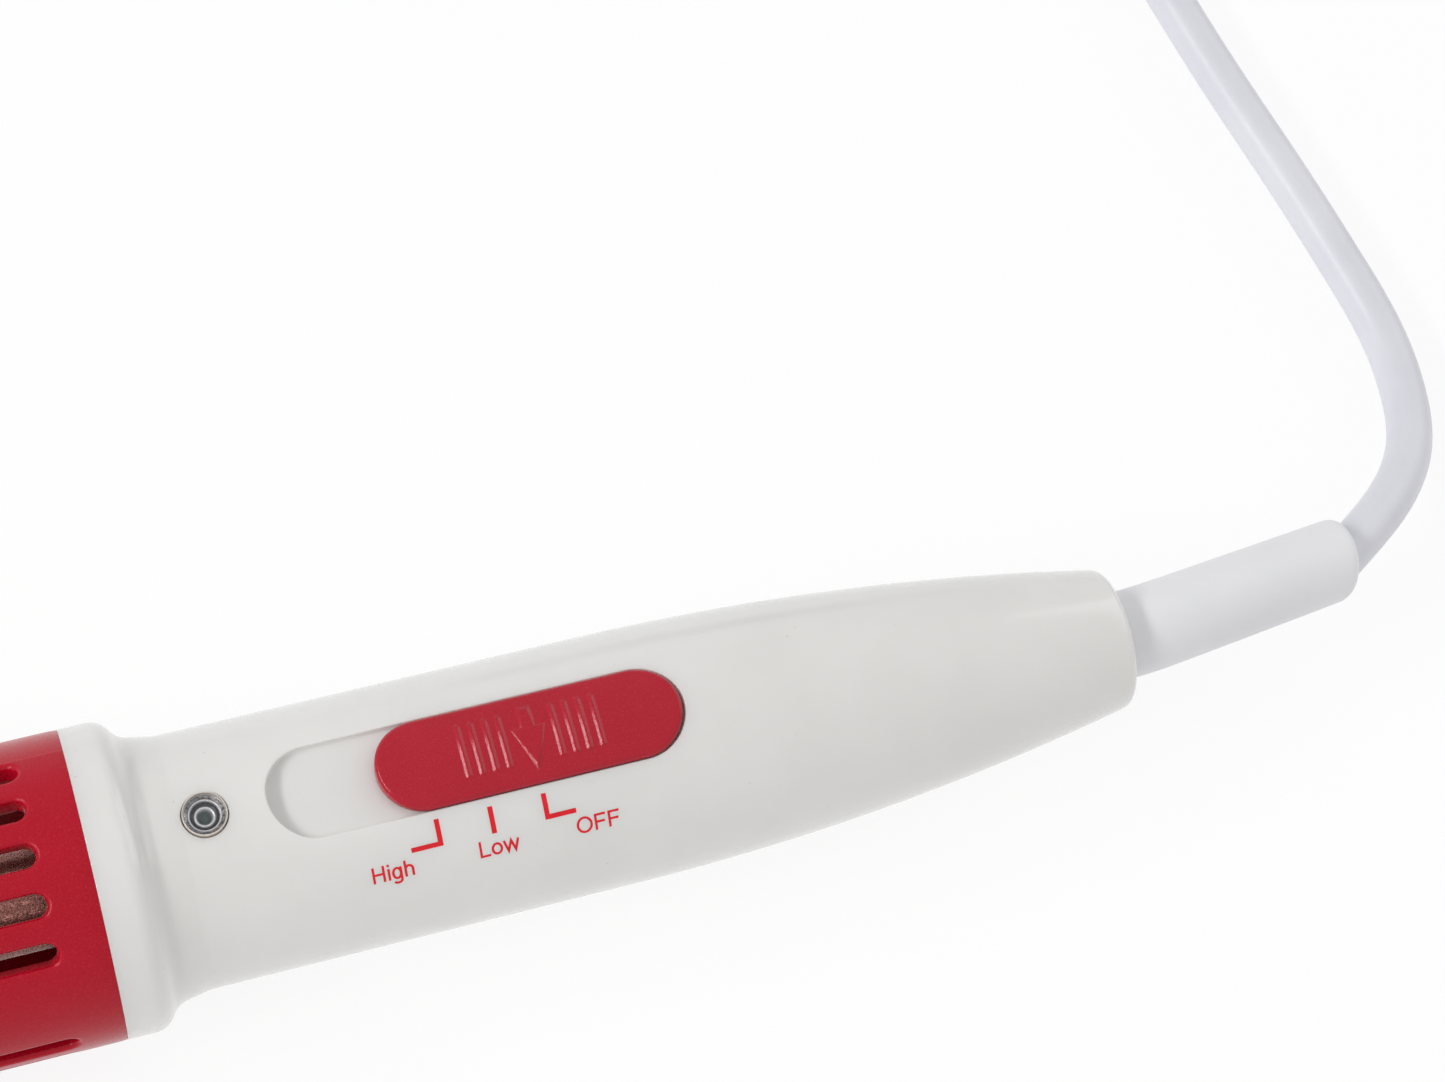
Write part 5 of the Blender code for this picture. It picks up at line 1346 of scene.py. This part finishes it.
def ringed(path, radii, way_start, sides=96):
    """Round skin whose rings may step back along the path: the ring's direction comes
    from the path's run where that goes on, and is kept where the skin turns back."""
    path = np.asarray(path, float)
    runs = np.diff(path, axis=0, append=path[-1:])
    ways, way = [], np.array(way_start, float)
    for run in runs:
        length = np.linalg.norm(run)
        if length > 0.0002 and run @ way > 0.9 * length:
            way = run / length
        ways.append(way)
    ways = np.array(ways)
    across = np.cross(np.array((0, 0, 1.0)), ways)
    across /= np.linalg.norm(across, axis=1, keepdims=True)
    over = np.cross(ways, across)
    angles = math.tau * np.arange(sides) / sides
    ring = (across[:, None] * np.cos(angles)[:, None] + over[:, None] * np.sin(angles)[:, None])
    points = path[:, None] + ring * np.asarray(radii)[:, None, None]
    points = np.concatenate([np.broadcast_to(path[0], (1, sides, 3)), points,
                             np.broadcast_to(path[-1], (1, sides, 3))])
    return grid(points, closed_columns=True)


def coil_line():
    """Centre line of the coiled cord, as the solids have it: the turns spiral in and
    out at a steady rate and climb one layer where the spiral reverses."""
    per_layer = COIL_TURNS / COIL_LAYERS
    swing = COIL_PITCH * per_layer / 2
    turns = np.linspace(0, COIL_TURNS, round(COIL_TURNS * 48) + 1)
    phase = (turns / per_layer) % 2
    radius = COIL_MEAN_R + swing * (1 - 2 * np.where(phase < 1, phase, 2 - phase))
    height = np.full_like(turns, 0.0008 + GAP + CORD_D / 2 - AXIS_Z)
    for layer in range(1, COIL_LAYERS):
        height += COIL_PITCH * np.clip((turns - layer * per_layer) * 2 + 0.5, 0, 1)
    angle = COIL_START + math.tau * turns
    points = np.stack([COIL_CENTRE[0] + radius * np.cos(angle),
                       COIL_CENTRE[1] + radius * np.sin(angle), height], axis=1)
    first, last = points[2] - points[0], points[-1] - points[-3]
    first[2] = last[2] = 0
    return points, first / np.linalg.norm(first), last / np.linalg.norm(last)


def build_cord(exit_at):
    """The whole cord as one tube: in view along its route, then the coil, then the lead
    to the plug."""
    coil, way_in, way_out = coil_line()
    way = np.array((math.cos(CORD_YAW) * math.cos(CORD_DROOP),
                    math.sin(CORD_YAW) * math.cos(CORD_DROOP), -math.sin(CORD_DROOP)))
    coil_start, coil_end = coil[0] - way_in * CORD_D, coil[-1] + way_out * CORD_D
    route = [exit_at + way * GAP] + [(x, y, height - AXIS_Z) for x, y, height in VIEW_ROUTE]
    route.append(coil_start - way_in * (GAP + CORD_D))
    view = smooth_curve(route, way, way_in, 0.0018)
    view[:, 2] = np.maximum(view[:, 2], CORD_D / 2 - AXIS_Z)
    inner = exit_at - way * 0.0008
    plug_z = PLUG_THICK / 2 - AXIS_Z
    drop = plug_z - coil_end[2]
    lead_start = coil_end + way_out * GAP
    plug_back = coil_end + way_out * (LEAD_OUT + GAP)
    lead_route = [lead_start + way_out * CORD_D]
    for along, down in LEAD_DROP_SHARES:
        if along * LEAD_OUT > CORD_D:
            lead_route.append(coil_end + way_out * LEAD_OUT * along
                              + np.array((0, 0, drop * down)))
    lead_route.append(plug_back + np.array((0, 0, drop)) - way_out * (CORD_D + GAP))
    lead = smooth_curve(lead_route, way_out, way_out, 0.0018)
    line = np.concatenate([[inner], view, [coil_start], coil, [coil_end],
                           lead, [plug_back + np.array((0, 0, drop)) - way_out * GAP]])
    cord = piece("white_cord", [pipe(line, CORD_D / 2, 28)], CORD_VINYL, "iron",
                 ["mains_cord", "cord_coil", "plug_lead"])
    heading = math.atan2(way_out[1], way_out[0])
    plug = build_plug(plug_back + np.array((0, 0, drop)), heading)
    plug + [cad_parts["coil_tie"]]


def build_plug(place, heading):
    """Flat two-pin plug with its ribbed relief: the body is a run of rounded
    rectangles, the relief steps up in rings."""
    turn = np.array(((math.cos(heading), -math.sin(heading), 0),
                     (math.sin(heading), math.cos(heading), 0), (0, 0, 1)))

    def placed(patch):
        return patch[0] @ turn.T + place, patch[1]

    ridge = PLUG_RELIEF_LENGTH / 9
    grow = PLUG_RELIEF_R - CORD_D / 2
    corners = [(0.0003, 0, 0), (0, CORD_D / 2 + GAP / 3, 0)]
    for k in range(4):
        out = CORD_D / 2 + grow * (0.45 + 0.13 * k)
        corners += [(2 * k * ridge, out, 0.0003), ((2 * k + 1) * ridge, out, 0.0003),
                    ((2 * k + 1) * ridge, out - grow * (0.45 + 0.13 * k) / 2, 0.0002),
                    ((2 * k + 2) * ridge, out - grow * (0.45 + 0.13 * k) / 2, 0.0002)]
    corners += [(8 * ridge, PLUG_RELIEF_R, 0.0003), (PLUG_RELIEF_LENGTH, PLUG_RELIEF_R, 0),
                (PLUG_RELIEF_LENGTH, 0, 0)]
    relief = piece("plug_ribs", [placed(turned(rounded(corners, 4), 48))], CORD_VINYL,
                   "iron", ["plug_relief"])
    body_at = PLUG_RELIEF_LENGTH + GAP
    shares = smooth_curve(PLUG_STATION_SHARES, (1, 0.2, 0.4), (0.3, -1, -1), 0.02)
    shares = np.minimum(shares, 1)
    angle = math.tau * np.arange(96) / 96
    c, s = np.cos(angle), np.sin(angle)
    round_c, round_s = np.sign(c) * abs(c)**0.5, np.sign(s) * abs(s)**0.5
    grip = 0.0005 * np.sin(shares[:, 0] * 110)**2 * rise(shares[:, 0], 0.52, 0.56) \
        * (1 - rise(shares[:, 0], 0.84, 0.88))
    wide = (PLUG_WIDTH / 2 * shares[:, 1] - grip)[:, None]
    thick = (PLUG_THICK / 2 * shares[:, 2])[:, None]
    along = (body_at + PLUG_LENGTH * shares[:, :1]) + 0 * angle
    ring = np.stack([along, wide * round_c, thick * round_s], axis=-1)
    ends = [ring[:1] * (1, 0, 0), ring[:1] * (1, 0.5, 0.5), ring,
            ring[-1:] * (1, 0.5, 0.5), ring[-1:] * (1, 0, 0)]
    body = piece("plug_shell", [placed(grid(np.concatenate(ends), closed_columns=True))],
                 CORD_VINYL, "iron", ["plug_body"], sharp=math.radians(45))
    pieces = [relief, body]
    face = body_at + PLUG_LENGTH
    for k, side in enumerate((1, -1)):
        shift = np.array((face, side * PIN_SPACING / 2, 0))
        sleeve = [(-0.0008, 0), (-0.0008, PIN_R), (PIN_LENGTH * 0.52, PIN_R),
                  (PIN_LENGTH * 0.52, 0)]
        pin = rounded([(PIN_LENGTH * 0.5, 0, 0), (PIN_LENGTH * 0.5, PIN_R * 0.94, 0),
                       (PIN_LENGTH, PIN_R * 0.94, 0.0011), (PIN_LENGTH, 0, 0)], 8)
        pieces.append(piece(f"pin_sleeve_{k + 1}", [placed(moved(turned(sleeve, 40), shift))],
                            CORD_VINYL, "iron"))
        pieces.append(piece(f"bright_pin_{k + 1}", [placed(moved(turned(pin, 40), shift))],
                            BRASS, "iron", [f"plug_pin_{k + 1}"]))
    return pieces


# The solids that stay

def finish_solids():
    """Gives each solid that still shows its finish, merges its points for display and
    keeps its sharp edges."""
    finishes = {"warm_white_plastic": WHITE, "red_heat_plastic": GUARD_RED,
                "milky_pvc": MILK, "white_cord_pvc": CORD_VINYL, "nickel_steel": STEEL,
                "polished_sole": SOLE, "nickel_brass": BRASS, "contact_copper": COPPER,
                "brown_mica": MICA, "heater_ceramic": CERAMIC, "black_plastic": BLACK,
                "brown_board": BOARD, "sand_resistor": SAND, "white_wire": WIRE,
                "clear_lens": CLEAR, "neon_glass": NEON}
    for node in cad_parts.values():
        if node.hide_render:
            continue
        old = node.data.materials[0].name.split(".")[0]
        node.data.materials.clear()
        node.data.materials.append(finishes[old])
        weld = node.modifiers.new("weld", "WELD")
        weld.merge_threshold = 0.000001
        split = node.modifiers.new("edges", "EDGE_SPLIT")
        split.split_angle = math.radians(35)
        node.data.shade_smooth()


build_camera()
build_cord(build_relief())
build_stage()
build_light()
build_handle()
build_guard()
build_knob()
build_lamp()
build_marks()
build_shoe(build_barrel())
finish_solids()
